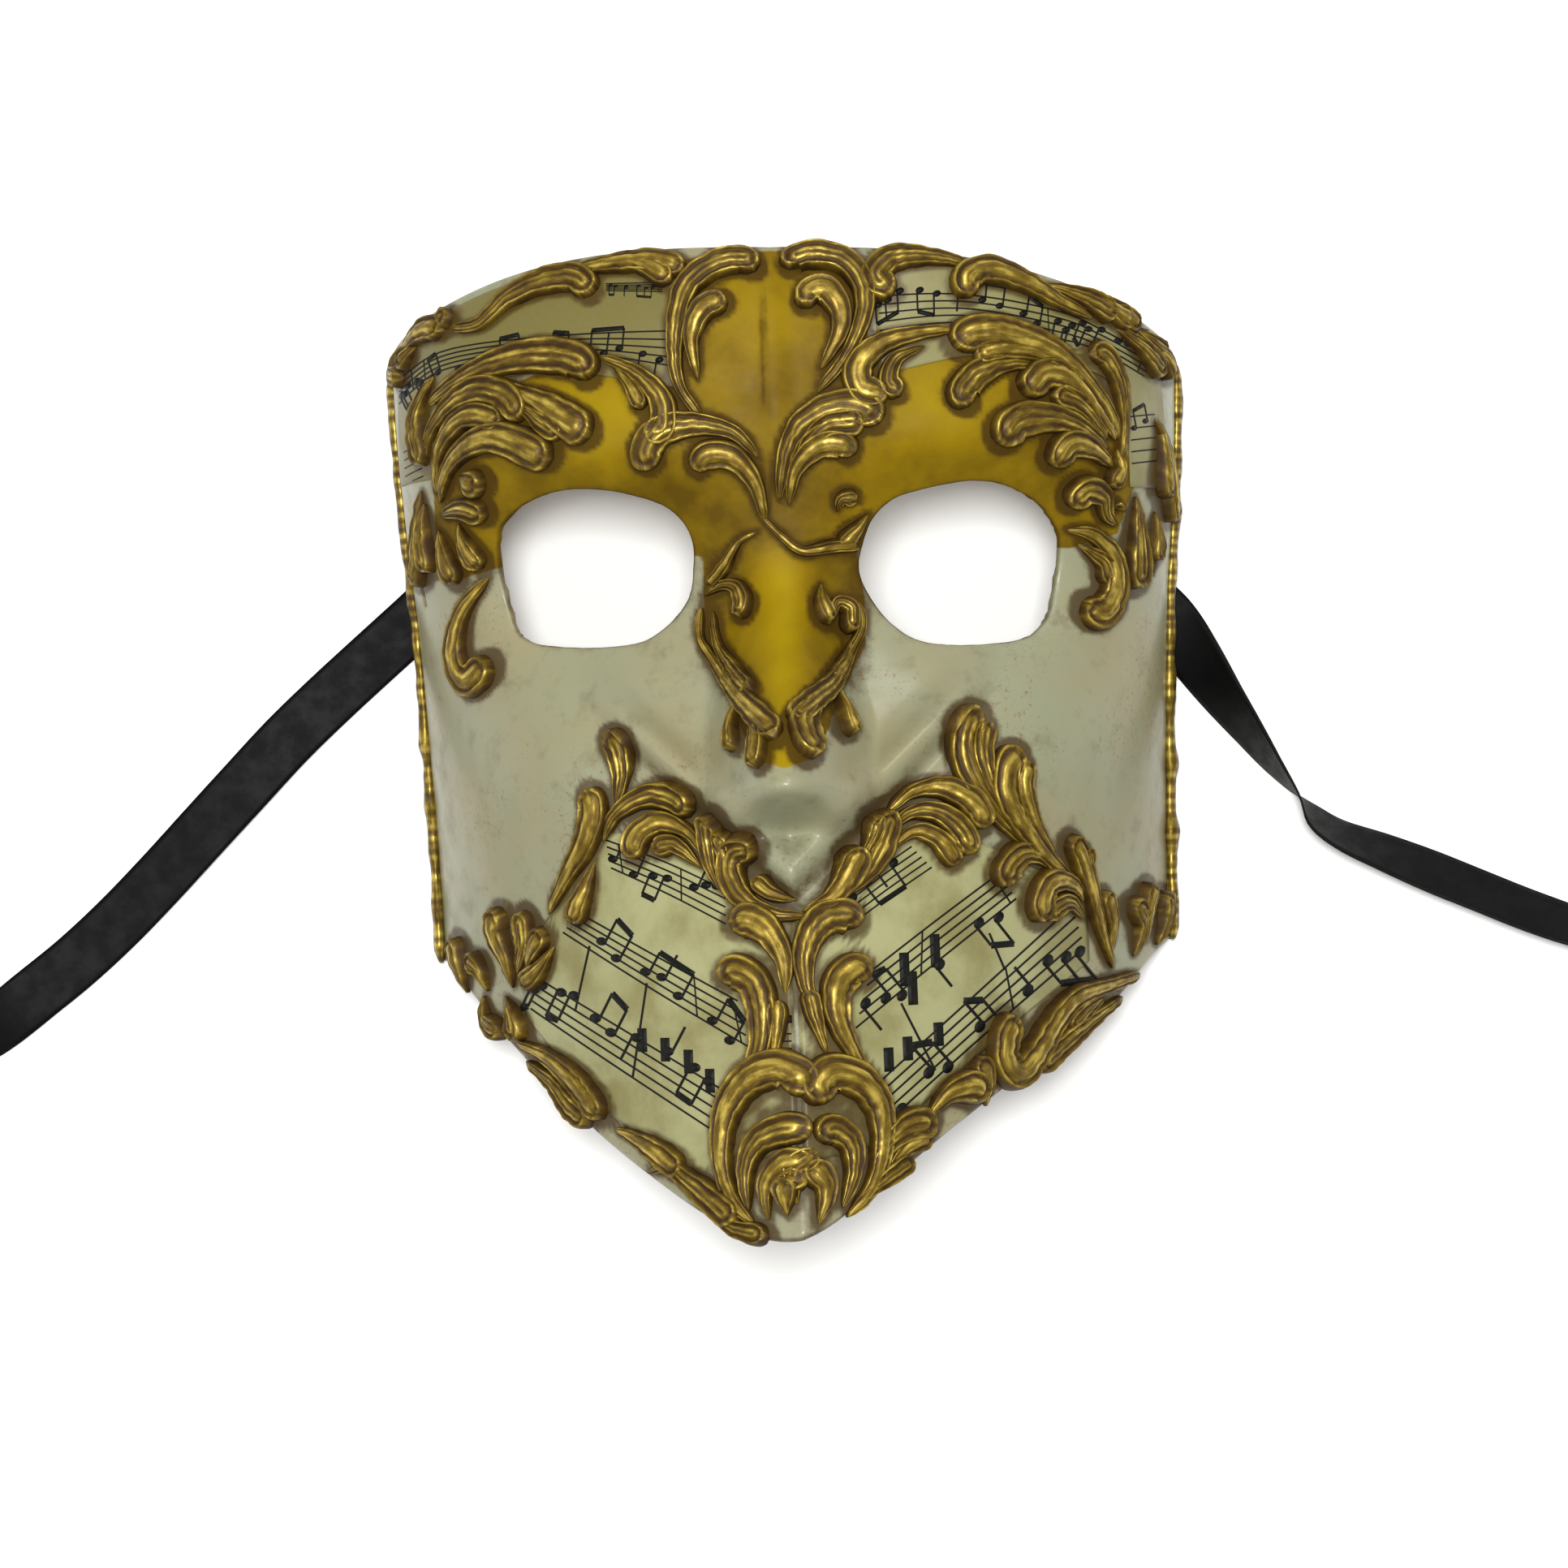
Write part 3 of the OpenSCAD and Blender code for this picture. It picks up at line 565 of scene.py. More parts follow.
class Skin:
    """Collects points, faces and point values for one piece."""

    def __init__(self):
        self.points, self.faces, self.marks, self.values, self.count = [], [], [], {}, 0

    def add(self, points, faces, mark=0, **values):
        points = np.asarray(points, float).reshape(-1, 3)
        self.points.append(points)
        start = self.count
        self.faces += [tuple(start + k for k in f) for f in faces]
        self.marks += [mark] * len(faces)
        for key in values:
            self.values.setdefault(key, [np.zeros(start)] if start else [])
        for key, rows in self.values.items():
            given = np.asarray(values.get(key, 0.0), float).ravel()
            rows.append(np.broadcast_to(given, (len(points),)))
        self.count += len(points)

    def make(self, name, stands_for, materials):
        mesh = bpy.data.meshes.new(name)
        points = np.concatenate(self.points) * MM
        points[:, 2] = np.maximum(points[:, 2], 0)
        mesh.from_pydata(points.tolist(), [], self.faces)
        for m in materials:
            mesh.materials.append(m)
        mesh.polygons.foreach_set("material_index", self.marks)
        mesh.polygons.foreach_set("use_smooth", [True] * len(self.faces))
        for key, rows in self.values.items():
            layer = mesh.attributes.new(key, "FLOAT", "POINT")
            layer.data.foreach_set("value", np.concatenate(rows).astype(np.float32))
        mesh.update()
        made = bpy.data.objects.new(name, mesh)
        bpy.context.scene.collection.objects.link(made)
        if stands_for:
            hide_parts(*stands_for)
        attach(made, BODY)
        return made


def tube_faces(rings, around):
    """Faces of a tube of rings, capped at both ends. Rings run counter-clockwise seen from the end."""
    made = []
    for i in range(rings - 1):
        for j in range(around):
            a, b = i * around + j, i * around + (j + 1) % around
            made.append((a, b, b + around, a + around))
    made.append(tuple(range(around - 1, -1, -1)))
    made.append(tuple((rings - 1) * around + j for j in range(around)))
    return made


# ---- relief

# Each stroke is its width and its middle line from root to head
STROKES = {
    "cartouche_left": [
        (6.5, [(-15, 68), (-20, 76), (-20.5, 86), (-18, 96), (-12, 101), (-6, 102), (-3, 99.5)]),
        (6, [(-16, 77), (-17, 86), (-14, 92), (-9, 93)]),
    ],
    "cartouche_right": [
        (6.5, [(9, 73), (15, 80), (19, 88), (19.5, 95), (16, 100.5), (10, 102.5), (5, 101.5), (4, 99.5)]),
        (7, [(10, 78), (14, 85), (14.5, 90), (11.5, 94.5), (8, 93.5), (8.5, 91)]),
    ],
    "crest_left": [
        (7.5, [(-4, 60), (-9, 65.5), (-17, 67.5), (-24, 66.5), (-27.5, 63), (-26.5, 59)]),
        (6.5, [(-3, 46), (-5, 55), (-9.5, 60.5), (-15, 61), (-17, 58)]),
    ],
    "crest_right": [
        (8, [(0, 51), (2, 61), (6, 67), (13, 70), (19, 69), (22, 66)]),
        (6.5, [(2, 50), (4, 57.5), (9, 62), (14, 62), (15.5, 59.5)]),
        (6, [(3, 56), (7, 63), (12, 66.5), (19, 66)]),
    ],
    "nose_scroll_left": [
        (3, [(-5, 44.5), (-9, 42.5), (-12, 37.5), (-15.5, 33.5)]),
        (4.5, [(-17, 31.5), (-13, 33.5), (-9.5, 33), (-8, 29.5), (-9, 26)]),
        (5.5, [(-17.5, 29), (-17.8, 22), (-13.5, 15.5), (-8.5, 9), (-4, 3.5), (-1.5, 0)]),
        (4, [(-15, 28), (-14, 21), (-10.5, 15.5), (-6.5, 10)]),
    ],
    "nose_scroll_right": [
        (3, [(-4, 48), (0, 43.5), (4, 40), (10, 41), (16, 41.5)]), (4, [(12, 48), (13, 51), (16.5, 51)]),
        (4.5, [(8, 33), (7.5, 29), (9, 24)]),
        (5.5, [(15.5, 29), (16, 23), (12.5, 17), (9, 11), (5, 7), (1.5, 3)]),
        (4, [(18.5, 47.5), (15, 44), (12, 41)]), (4.5, [(9, 24), (10.5, 28.5), (13.5, 27), (13, 22)]),
        (4, [(14, 21), (11.5, 15), (9, 12)]),
    ],
    "nose_tips": [
        (4, [(-9, 10), (-10.5, 4), (-10.5, -2)]), (4.5, [(-6.5, 6), (-5, 0), (-5.5, -6)]),
        (7, [(8, 9), (3.5, 3), (5.5, -4.5)]), (4.5, [(10, 11), (11.5, 5), (13, 0)]),
    ],
    "brow_spray_left": [
        (8.5, [(-76, 76), (-68, 80.5), (-58, 83.5), (-48, 84), (-41, 82), (-39.5, 78)]),
        (8.5, [(-60, 79), (-50, 74), (-39, 66)]),
        (7, [(-77, 63), (-75, 70), (-69, 76), (-62, 78), (-56, 75), (-54.5, 70)]),
        (8, [(-74, 55), (-71, 62), (-65, 66.5), (-58, 67), (-47.5, 62)]),
        (6, [(-74, 82), (-78, 74), (-77, 63)]),
        (6, [(-75, 57), (-73, 66), (-68, 71.5), (-63, 72.5), (-58, 70)]),
        (5, [(-56, 75.5), (-50, 70), (-45, 66.5)]),
    ],
    "brow_bud_left": [(8, [(-69, 60), (-66, 58.5), (-63, 57)])],
    "brow_curl_left": [
        (6.5, [(-37, 83), (-29, 79), (-24, 73), (-24, 67), (-28, 67)]),
        (4, [(-34, 81), (-30, 76), (-28, 71)]),
    ],
    "temple_leaves_left": [
        (7, [(-79, 58), (-80, 44), (-81, 38)]), (6, [(-75, 49), (-71, 37)]),
        (6, [(-74, 52), (-68, 53), (-63, 51)]), (5.5, [(-70, 50), (-68, 45), (-65, 40)]),
        (6, [(-78, 55), (-78, 47), (-77, 40)]),
    ],
    "cheek_drop_left": [(8, [(-64, 38), (-70, 31), (-72, 22), (-69, 16), (-64, 20)])],
    "crown_scroll_left": [
        (7, [(-70, 92), (-63, 92), (-56, 97), (-48, 100), (-41, 100), (-38, 96)]),
        (6, [(-48, 101), (-35, 102.5), (-24, 102.5), (-18, 100)]),
        (6, [(-73, 93), (-71, 94), (-69, 94.5)]),
        (5.5, [(-36, 102), (-30, 102.5), (-25, 101), (-21, 97.5)]),
    ],
    "corner_scroll_left": [
        (6, [(-78, 90), (-82, 86)]), (6, [(-82, 87), (-80, 90), (-75, 92.5), (-71, 92)]),
        (5, [(-84, 90), (-84.5, 85), (-82, 83)]),
    ],
    "brow_scroll_right": [
        (7, [(39, 85.5), (31, 84.8), (23, 82.8), (18, 78.5), (18.5, 73.5), (24, 71.5)]),
        (5, [(32, 82), (26, 79.5), (24, 75), (26.5, 71.5)]),
    ],
    "brow_spray_right": [
        (8.5, [(73, 62), (69, 70), (60, 79.5), (50, 84), (42, 84.5), (38, 81.5)]),
        (7.5, [(56, 78), (49, 78), (43, 76), (39.5, 72), (41, 69)]),
        (7.5, [(72, 62), (66, 70), (61, 75), (56, 75.5), (52.5, 71)]),
        (8, [(70, 60), (63, 65), (56, 66.5), (50, 65.5), (46.5, 61)]),
        (7, [(71, 56), (66, 60), (61, 61), (57.5, 56.5)]),
        (5.5, [(73, 58), (73.5, 66), (72.5, 74), (69.5, 80), (66.5, 80)]),
        (5, [(66, 73), (58, 79), (49, 81), (42, 79.5)]), (5.5, [(70, 62), (64, 69), (58, 71.5)]),
        (5, [(72, 60), (72, 56), (69.5, 52)]),
    ],
    "temple_scroll_right": [
        (7, [(71.5, 44), (69, 46), (68, 50), (64.5, 51.5), (61, 48)]),
        (8, [(61, 43), (66, 42), (70, 37), (70, 30), (67, 25), (63.5, 27.5)]),
        (5, [(63, 40), (68, 36), (68.5, 31)]), (5, [(71, 47.5), (72, 48.5)]),
    ],
    "side_leaves_right": [
        (7.5, [(76, 50), (75, 30)]), (5.5, [(82, 66), (82, 50)]), (5, [(80.5, 47), (79.5, 36)]),
        (5.5, [(81, 67), (83, 60), (83.5, 45)]),
    ],
    "crown_scroll_right": [
        (7.5, [(43, 99), (35, 101), (26, 101), (22, 97), (26, 93)]),
        (7, [(68, 88), (61, 91), (54, 95), (46, 98), (41, 96), (42, 92)]),
        (6, [(58, 95), (66, 92), (72, 88.5)]),
    ],
    "corner_scroll_right": [
        (6, [(64, 94), (70, 91), (76, 87)]), (5, [(78, 86), (83, 81)]),
        (5.5, [(70, 90), (74, 89), (77, 86)]), (5.5, [(73, 86), (78, 82), (82, 77)]),
        (5, [(80, 84), (83, 80), (84, 76)]),
    ],
    "lip_leaves_left": [
        (7, [(-37, -13), (-35.5, -6), (-36, 0), (-38.5, 3)]),
        (7, [(-53, -35), (-48, -27), (-43.5, -20), (-41.5, -13), (-43, -8.5)]),
        (7, [(-40, -20), (-37, -14.5), (-31, -11), (-25, -11), (-20, -14)]),
        (6.5, [(-18, -24), (-21, -19), (-27, -16.5), (-32, -19), (-33, -24)]),
        (6, [(-15, -31), (-17, -24), (-16, -15)]), (6, [(-42, -24), (-44, -30), (-47, -37)]),
        (5, [(-19, -26), (-24, -21.5), (-29, -22)]), (5, [(-13, -30), (-13.5, -23), (-14, -18)]),
    ],
    "lip_cup": [
        (7.5, [(3, -37), (-4, -36.5), (-10, -33), (-12.5, -27.5), (-10.5, -22.5), (-6.5, -22.5)]),
        (8, [(2, -36), (8, -33.5), (12, -28), (13.5, -22.5)]),
        (7.5, [(8, -34), (15, -29), (19, -22), (20, -15)]), (5, [(1, -33.5), (-4, -32), (-7.5, -28.5)]),
        (5, [(14, -27), (16.5, -21), (17, -16)]),
    ],
    "lip_arches_right": [
        (7, [(20, -16), (25, -12), (32, -11.5), (38, -15), (40, -20.5)]),
        (6.5, [(20, -20), (25, -16.5), (31, -17), (35.5, -21.5), (36, -26)]),
        (5.5, [(20, -24), (25.5, -20.5), (30.5, -22.5), (34, -28)]),
    ],
    "cheek_spray_right": [
        (8.5, [(50, -25), (44, -18.5), (39.5, -12), (37, -5), (37.5, 1.5), (41, 4)]),
        (7.5, [(60, -34), (53, -27), (48, -20), (45, -13.5), (45.5, -7.5), (48.5, -4)]),
        (7.5, [(54, -29.5), (51, -26.5), (47, -26), (44, -29.5), (44, -33)]),
        (7.5, [(61, -37), (58, -33), (53.5, -32), (51, -35.5), (51, -41)]),
        (5.5, [(61, -41), (57.5, -37), (54, -38), (53, -41)]),
        (5.5, [(67, -52), (64, -43), (61.5, -33), (59.5, -26), (58, -23)]),
        (5.5, [(45, -17), (41.5, -10), (40.5, -3), (42, 2)]),
        (5, [(55, -27), (50.5, -19.5), (48.5, -12), (49.5, -6)]), (4, [(62, -32), (61, -25)]),
        (5, [(66, -50), (66.5, -43), (65, -35)]),
    ],
    "corner_leaves_right": [
        (6, [(72, -50), (73.5, -43), (71.5, -37.5)]), (5.5, [(75, -47), (74.5, -40), (76, -34)]),
        (6, [(77.5, -48), (79, -42), (79, -36)]),
    ],
    "jaw_scroll_right": [
        (8, [(73, -54), (66, -55.5), (58, -57.5), (53, -62), (49, -68), (45, -72.5), (42, -70), (42, -65),
             (44.5, -60)]),
        (5, [(65, -58), (60, -60.5), (56, -64.5)]), (6.5, [(38.5, -79), (38, -74), (36.5, -68)]),
        (6, [(69, -58.5), (61, -63), (55, -67), (49, -72)]),
    ],
    "jaw_leaves_right": [
        (8, [(26, -80), (30, -75.5), (35, -74.5), (37.5, -77.5)]),
        (8, [(14, -91), (17, -85), (21.5, -81.5), (27, -81.5)]), (5.5, [(17, -91), (21, -86), (26, -84)]),
        (5, [(10, -97), (16, -92.5), (22, -88.5)]),
    ],
    "chin_column_left": [
        (8, [(-2, -53), (-2, -46), (-5, -40), (-9, -37.5), (-13, -38.5)]),
        (8, [(-14, -80), (-12, -73), (-7.5, -65), (-6.5, -57), (-8, -50.5), (-12, -48), (-15, -50)]),
        (4.5, [(-5, -68), (-3.5, -60), (-3.5, -54)]),
    ],
    "chin_column_right": [
        (8, [(4, -58), (2, -50), (2.5, -43), (6, -38), (11, -37.5), (13, -40)]),
        (8, [(15, -72), (11, -65.5), (8, -58), (8.5, -51.5), (12, -48.5), (14.5, -51)]),
        (4.5, [(6, -66), (3.5, -58), (2.5, -52)]),
    ],
    "rosette_left": [
        (9, [(-10, -100), (-14.5, -94), (-16, -86), (-14.5, -77), (-10, -70.5), (-4, -68), (0, -70.5),
             (-1, -74)]),
        (7.5, [(-11, -97), (-11, -89), (-8, -83), (-2, -80.5), (2, -82)]),
        (6.5, [(-7, -99), (-7, -92), (-3, -87.5), (2, -87.5)]), (6, [(-4, -97), (-3, -92), (1, -90)]),
    ],
    "rosette_right": [
        (9, [(9, -99), (14, -93), (16, -85), (15.5, -77), (12, -71.5), (7, -69.5), (4, -72), (5, -76)]),
        (7, [(8, -97), (10, -90), (9.5, -84), (6, -81), (3, -83)]),
    ],
    "chin_bud": [
        (7, [(-3, -98), (-3, -90)]), (5, [(-20, -97.5), (-14, -100.8), (-7, -102.3)]),
        (7, [(3, -100), (4.5, -93), (1, -87)]), (5.5, [(-1, -96), (-1, -89), (3, -85.5)]),
    ],
    "jaw_scroll_left": [
        (6.5, [(-62, -63), (-54, -66), (-48, -70.5), (-44, -75.5), (-42.5, -79)]),
        (6, [(-60, -67), (-53, -71.5), (-49, -76.5), (-45, -79.5)]),
    ],
    "jaw_leaves_left": [
        (6.5, [(-40, -81), (-35.5, -82.5), (-30, -85.5), (-24.5, -89.5)]),
        (7, [(-33, -90), (-28, -88.5), (-23, -91.5), (-18, -95.5), (-13, -99.5)]),
    ],
    "corner_leaves_left": [
        (6, [(-74.5, -52.5), (-75.5, -46), (-76.5, -40)]),
        (5.5, [(-69, -52), (-70, -47), (-72.5, -44.5)]),
        (7, [(-62.5, -51), (-63, -45), (-65, -38.5), (-64.5, -33.5)]),
        (6, [(-61.5, -48), (-58.5, -41.5), (-59, -34)]), (6, [(-59, -47), (-56, -42), (-53.5, -38.5)]),
        (7, [(-64.5, -53), (-62, -58), (-61.5, -63)]), (5.5, [(-52, -42), (-55, -47), (-59, -50)]),
        (5.5, [(-70, -53), (-69, -58), (-65, -61)]),
    ],
}

# A grid of half-millimetre cells over the face
FIELD_CELL = 0.5
FIELD_X = np.arange(-95, 95.1, FIELD_CELL)
FIELD_Y = np.arange(-112, 112.1, FIELD_CELL)
BED_BLUR = 3.2
BED_SINK = 0.3


def blurred(field, size):
    """The grid smoothed over about size millimetres, its borders held."""
    reach = int(3 * size / FIELD_CELL)
    weight = bell(np.arange(-reach, reach + 1) * FIELD_CELL / (size * math.sqrt(2)))
    weight /= weight.sum()
    for axis in (0, 1):
        wide = np.pad(field, [(reach, reach) if k == axis else (0, 0) for k in (0, 1)], mode="edge")
        field = np.apply_along_axis(np.convolve, axis, wide, weight, "valid")
    return field


def read_grid(grid, x, y):
    p = np.clip((np.asarray(x) - FIELD_X[0]) / FIELD_CELL, 0, len(FIELD_X) - 1.01)
    q = np.clip((np.asarray(y) - FIELD_Y[0]) / FIELD_CELL, 0, len(FIELD_Y) - 1.01)
    i, j = p.astype(int), q.astype(int)
    f, g = p - i, q - j
    near = grid[i, j] * (1 - f) + grid[i + 1, j] * f
    return near * (1 - g) + (grid[i, j + 1] * (1 - f) + grid[i + 1, j + 1] * f) * g


BED = blurred(face_z(FIELD_X[:, None], FIELD_Y[None, :]), BED_BLUR)


def on_bed(x, y):
    """The smoothed surface that the stucco lies on, so that a leaf bridges a sharp step of the face."""
    true = face_z(x, y)
    rim = ease(0.80, 0.93, np.abs(x) / read(HALF_W, y))
    return np.stack([x, y, np.maximum(read_grid(BED, x, y) * (1 - rim) + true * rim, true - BED_SINK)], -1)


def bed_up(x, y):
    return upward(on_bed, x, y, 1.0)


STROKE_STEP = 0.65
STROKE_ACROSS = 25
STROKE_H = 3.1
STROKE_SUNK = 0.4
# Leaves that cross lie at one of five heights, so that their faces don't fight
STROKE_LIFT = 0.1
RIM_SPARE = 0.15
STROKE_WOBBLE = 7
# A leaf's height, and its gilding with painted highlight and shade, from its edge (0) to its middle line
# (1)
RIM_PROFILE = [
    (0, 0), (0.03, 0.35), (0.1, 0.7), (0.2, 0.9), (0.29, 0.9), (0.38, 0.7), (0.46, 0.7), (0.6, 0.93),
    (0.8, 1), (1, 1),
]
RIM_GILT_AND_LIGHT = [
    (0, 0.22), (0.1, 0.45), (0.2, 0.85), (0.3, 0.7), (0.42, 0.08), (0.55, 0.7), (0.75, 0.9), (1, 0.72),
]
VEIN_PROFILE = [
    (0, 0), (0.03, 0.35), (0.1, 0.7), (0.22, 0.94), (0.34, 0.84), (0.5, 0.62), (0.64, 0.8), (0.8, 0.94),
    (1, 0.8),
]
VEIN_GILT_AND_LIGHT = [
    (0, 0.22), (0.1, 0.45), (0.2, 0.9), (0.34, 0.6), (0.48, 0.05), (0.62, 0.6), (0.8, 0.95), (1, 0.35),
]


def stroke_line(route):
    """The stroke's centreline on the face at even steps: x, y and the distance along."""
    fine = curve_through(route, 12)
    run = run_along(on_face(fine[:, 0], fine[:, 1]))
    n = max(8, int(round(run[-1] / STROKE_STEP)) + 1)
    at = np.linspace(0, run[-1], n)
    return np.interp(at, run, fine[:, 0]), np.interp(at, run, fine[:, 1]), at


def half_width(width, at, wobble):
    """Half the stroke's width along it: a drawn-out root, a full head with a round end."""
    length = at[-1]
    v = at / length
    swell = 0.34 + 0.66 * ease(0, 0.85, v)
    root = np.sqrt(np.clip(at / min(0.5 * width, 0.3 * length), 0.02, 1))
    to_head = np.clip(1 - (length - at) / (0.5 * width), 0, 1)
    head = np.sqrt(np.clip(1 - to_head**2, 0.004, 1))
    return width / 2 * swell * root * head * (1 + 0.06 * wobble(at)), to_head, root


def sweep_stroke(skin, width, route, seed):
    """Adds one comma-shaped leaf of stucco: raised rims, grooves between them, a rounded head."""
    x, y, at = stroke_line(route)
    wobble = Wobble(seed, STROKE_WOBBLE)
    half, to_head, root = half_width(width, at, wobble)
    solid = on_bed(x, y)
    along = unit(np.gradient(solid, axis=0))
    up = bed_up(x, y)
    side = unit(np.cross(up, along))
    t = np.sin(np.linspace(-math.pi / 2, math.pi / 2, STROKE_ACROSS))
    px = x[:, None] + side[:, None, 0] * half[:, None] * t
    py = y[:, None] + side[:, None, 1] * half[:, None] * t
    limit = read(HALF_W, py) - RIM_SPARE
    px = np.clip(px, -limit, limit)
    edge = 1 - np.sqrt(np.clip(t**2 * (1 - to_head[:, None] ** 2) + to_head[:, None] ** 2, 0, 1))
    profile, gilt = (VEIN_PROFILE, VEIN_GILT_AND_LIGHT) if seed % 2 else (RIM_PROFILE, RIM_GILT_AND_LIGHT)
    lean = 0.05 * wobble(at * 1.7)[:, None] * np.sign(t)
    spot = np.clip(edge + lean * (edge > 0.15), 0, 1)
    level = np.interp(spot, *zip(*profile))
    grow = (0.5 + 0.5 * ease(0, 0.7, at / at[-1])) * np.clip(root, 0.25, 1)
    tall = STROKE_H * (0.8 + 0.2 * width / 7) * grow * (1 + 0.05 * Wobble(seed + 50, 4)(at))
    high = level * tall[:, None] + STROKE_LIFT * (seed % 5)
    out = bed_up(px, py)
    top = on_bed(px, py) + out * high[..., None]
    low_t = [STROKE_ACROSS - 1, STROKE_ACROSS // 2, 0]
    low = (on_face(px, py) - STROKE_SUNK * out)[:, low_t]
    rings = np.concatenate([top, low], 1)
    around = STROKE_ACROSS + 3
    # Gilding with a painted highlight on the rims and painted shade on the walls and in the grooves.
    ridge = np.concatenate([np.interp(spot, *zip(*gilt)), np.zeros((len(at), 3))], 1)
    across = np.concatenate([half[:, None] * t, half[:, None] * t[low_t]], 1)
    skin.add(
        rings, tube_faces(len(at), around), ridge=ridge, across=across, along=np.repeat(at, around),
        seed=seed % 97,
    )


def make_relief():
    seed = 1
    for name, strokes in STROKES.items():
        skin = Skin()
        for width, route in strokes:
            sweep_stroke(skin, width, route, seed)
            seed += 1
        skin.make("gilt_" + name, [name], [GILT])


# ---- brown wash with painted shade, and gilt field with painted highlight

FAR_AWAY = 15.0
SEARCH_REACH = 12


def relief_distance():
    """Distance from every cell of a grid to the nearest stroke's edge."""
    field = np.full((len(FIELD_X), len(FIELD_Y)), FAR_AWAY)
    reach = int(SEARCH_REACH / FIELD_CELL)
    for strokes in STROKES.values():
        for width, route in strokes:
            x, y, at = stroke_line(route)
            half = half_width(width, at, Wobble(1, STROKE_WOBBLE))[0]
            for cx, cy, r in zip(x[::2], y[::2], half[::2]):
                i = int((cx - FIELD_X[0]) / FIELD_CELL)
                j = int((cy - FIELD_Y[0]) / FIELD_CELL)
                rows = slice(max(0, i - reach), i + reach)
                cols = slice(max(0, j - reach), j + reach)
                gap = np.hypot(FIELD_X[rows, None] - cx, FIELD_Y[None, cols] - cy) - r
                field[rows, cols] = np.minimum(field[rows, cols], gap)
    return field


DISTANCE = relief_distance()


def wash_at(x, y):
    """How much brown wash and painted shade lies at a spot: strong beside the relief, fading over a few
    millimetres, with painted shade also in the forehead crease, under the lip and beside the nose.
    """
    gap = np.maximum(0, read_grid(DISTANCE, x, y))
    # Beside the relief: brown wash and painted shade together.
    wash = 0.9 / (1 + np.exp((gap - 0.7) / 0.3)) + 0.26 * np.exp(-gap / 2.8)
    middle = bell(x / 9) * ease(-40, -50, y) * 0.25
    # Painted shade in the groove under the lip, in the forehead crease and at the sides of the nose.
    shade_under_lip = 0.5 * bell((y - (-33 + 0.95 * np.abs(x))) / 3.0) * (1 - ease(22, 34, np.abs(x)))
    crease = 0.75 * bell((x + 2 - 0.04 * (y - 84)) / 0.9) * ease(66, 74, y) * (1 - ease(92, 100, y))
    nose_side_shade = 0.5 * bell((np.abs(x) - 15) / 3.5) * ease(4, 14, y) * (1 - ease(38, 48, y))
    hatch_left = ease(-10, -8, x) * (1 - ease(-1, 1, x)) * bell((y + 78) / 2.4)
    hatch_right = ease(7, 9, x) * (1 - ease(11, 13, x)) * ease(-89, -87, y) * (1 - ease(-78, -75, y))
    return np.clip(wash + middle + shade_under_lip + crease + nose_side_shade + 0.8 * (hatch_left + hatch_right), 0, 1)


GOLD_OUTLINE = [
    (-18, 103), (0, 104), (18, 103), (21, 92), (20, 84), (28, 84), (40, 84), (55, 80), (66, 74), (74, 64),
    (76, 52), (72, 42), (62, 39), (40, 40), (16, 40), (17, 30), (17, 20), (12, 10), (9, 2), (6, -4),
    (0, -6), (-6, -4), (-9, 2), (-12, 10), (-17, 20), (-17, 30), (-17, 40), (-40, 40), (-62, 40),
    (-70, 38), (-76, 44), (-76, 58), (-72, 68), (-62, 77), (-45, 82), (-36, 80), (-26, 80), (-20, 84),
    (-21, 92),
]


def gold_at(x, y):
    gap = outline_field(np.array(GOLD_OUTLINE, float), np.stack([x.ravel(), y.ravel()], 1))[0]
    return (1 - ease(-1.5, 1.5, gap)).reshape(x.shape)


def glow_at(x, y):
    """A painted highlight on the gilt field: brightest on the brows, then along the nose ridge and over
    the cartouche.
    """
    brow = bell((y - 72) / 9) * bell((np.abs(x) - 34) / 16)
    cartouche = bell(x / 16) * bell((y - 84) / 20)
    ridge = bell(x / 4.5) * (1 - ease(34, 46, y))
    return np.clip(0.9 * brow + 0.25 * cartouche + 0.8 * ridge, 0, 1)


# ---- shell

SHELL_ACROSS = 236
SHELL_DOWN = 226
RIM_ROUND = 3
RIM_BULGE = 0.9
# Beyond this share of the half width, the wall is held up off the table
FOOT_FROM = 0.97
SMOOTHING = 12
EYE_REACH = 30
EYE_LOWEST = 20
EYE_SNAP = 0.3
SIDE_FROM = 60
NO_HOLE_NEAR = 50.0
EYE_SHADE_REACH = 34


def shell_sheets():
    """Outer and inner sheet of the wall as grids of points."""
    s = np.sin(np.linspace(-math.pi / 2, math.pi / 2, SHELL_ACROSS + 1))[:, None]
    f = np.linspace(0, 1, SHELL_DOWN + 1)[None, :]
    y = crown_y(s) * (1 - f) + jaw_y(s) * f
    x = s * read(HALF_W, y)
    outer = on_face(x, y)
    floor = foot(y) + RIM_BULGE
    outer[..., 2] = np.where(np.abs(s) > FOOT_FROM, np.maximum(outer[..., 2], floor), outer[..., 2])
    up = unit(np.cross(np.gradient(outer, axis=0), -np.gradient(outer, axis=1)))
    inner = outer - WALL * up
    for _ in range(SMOOTHING):
        inner[1:-1, 1:-1] = 0.5 * inner[1:-1, 1:-1] + 0.125 * (
            inner[2:, 1:-1] + inner[:-2, 1:-1] + inner[1:-1, 2:] + inner[1:-1, :-2]
        )
    inner[[0, -1], :, 2] = outer[[0, -1], :, 2]
    inner[..., 2] = np.maximum(inner[..., 2], np.where(np.abs(s) > FOOT_FROM, floor, 0))
    return outer, inner, up


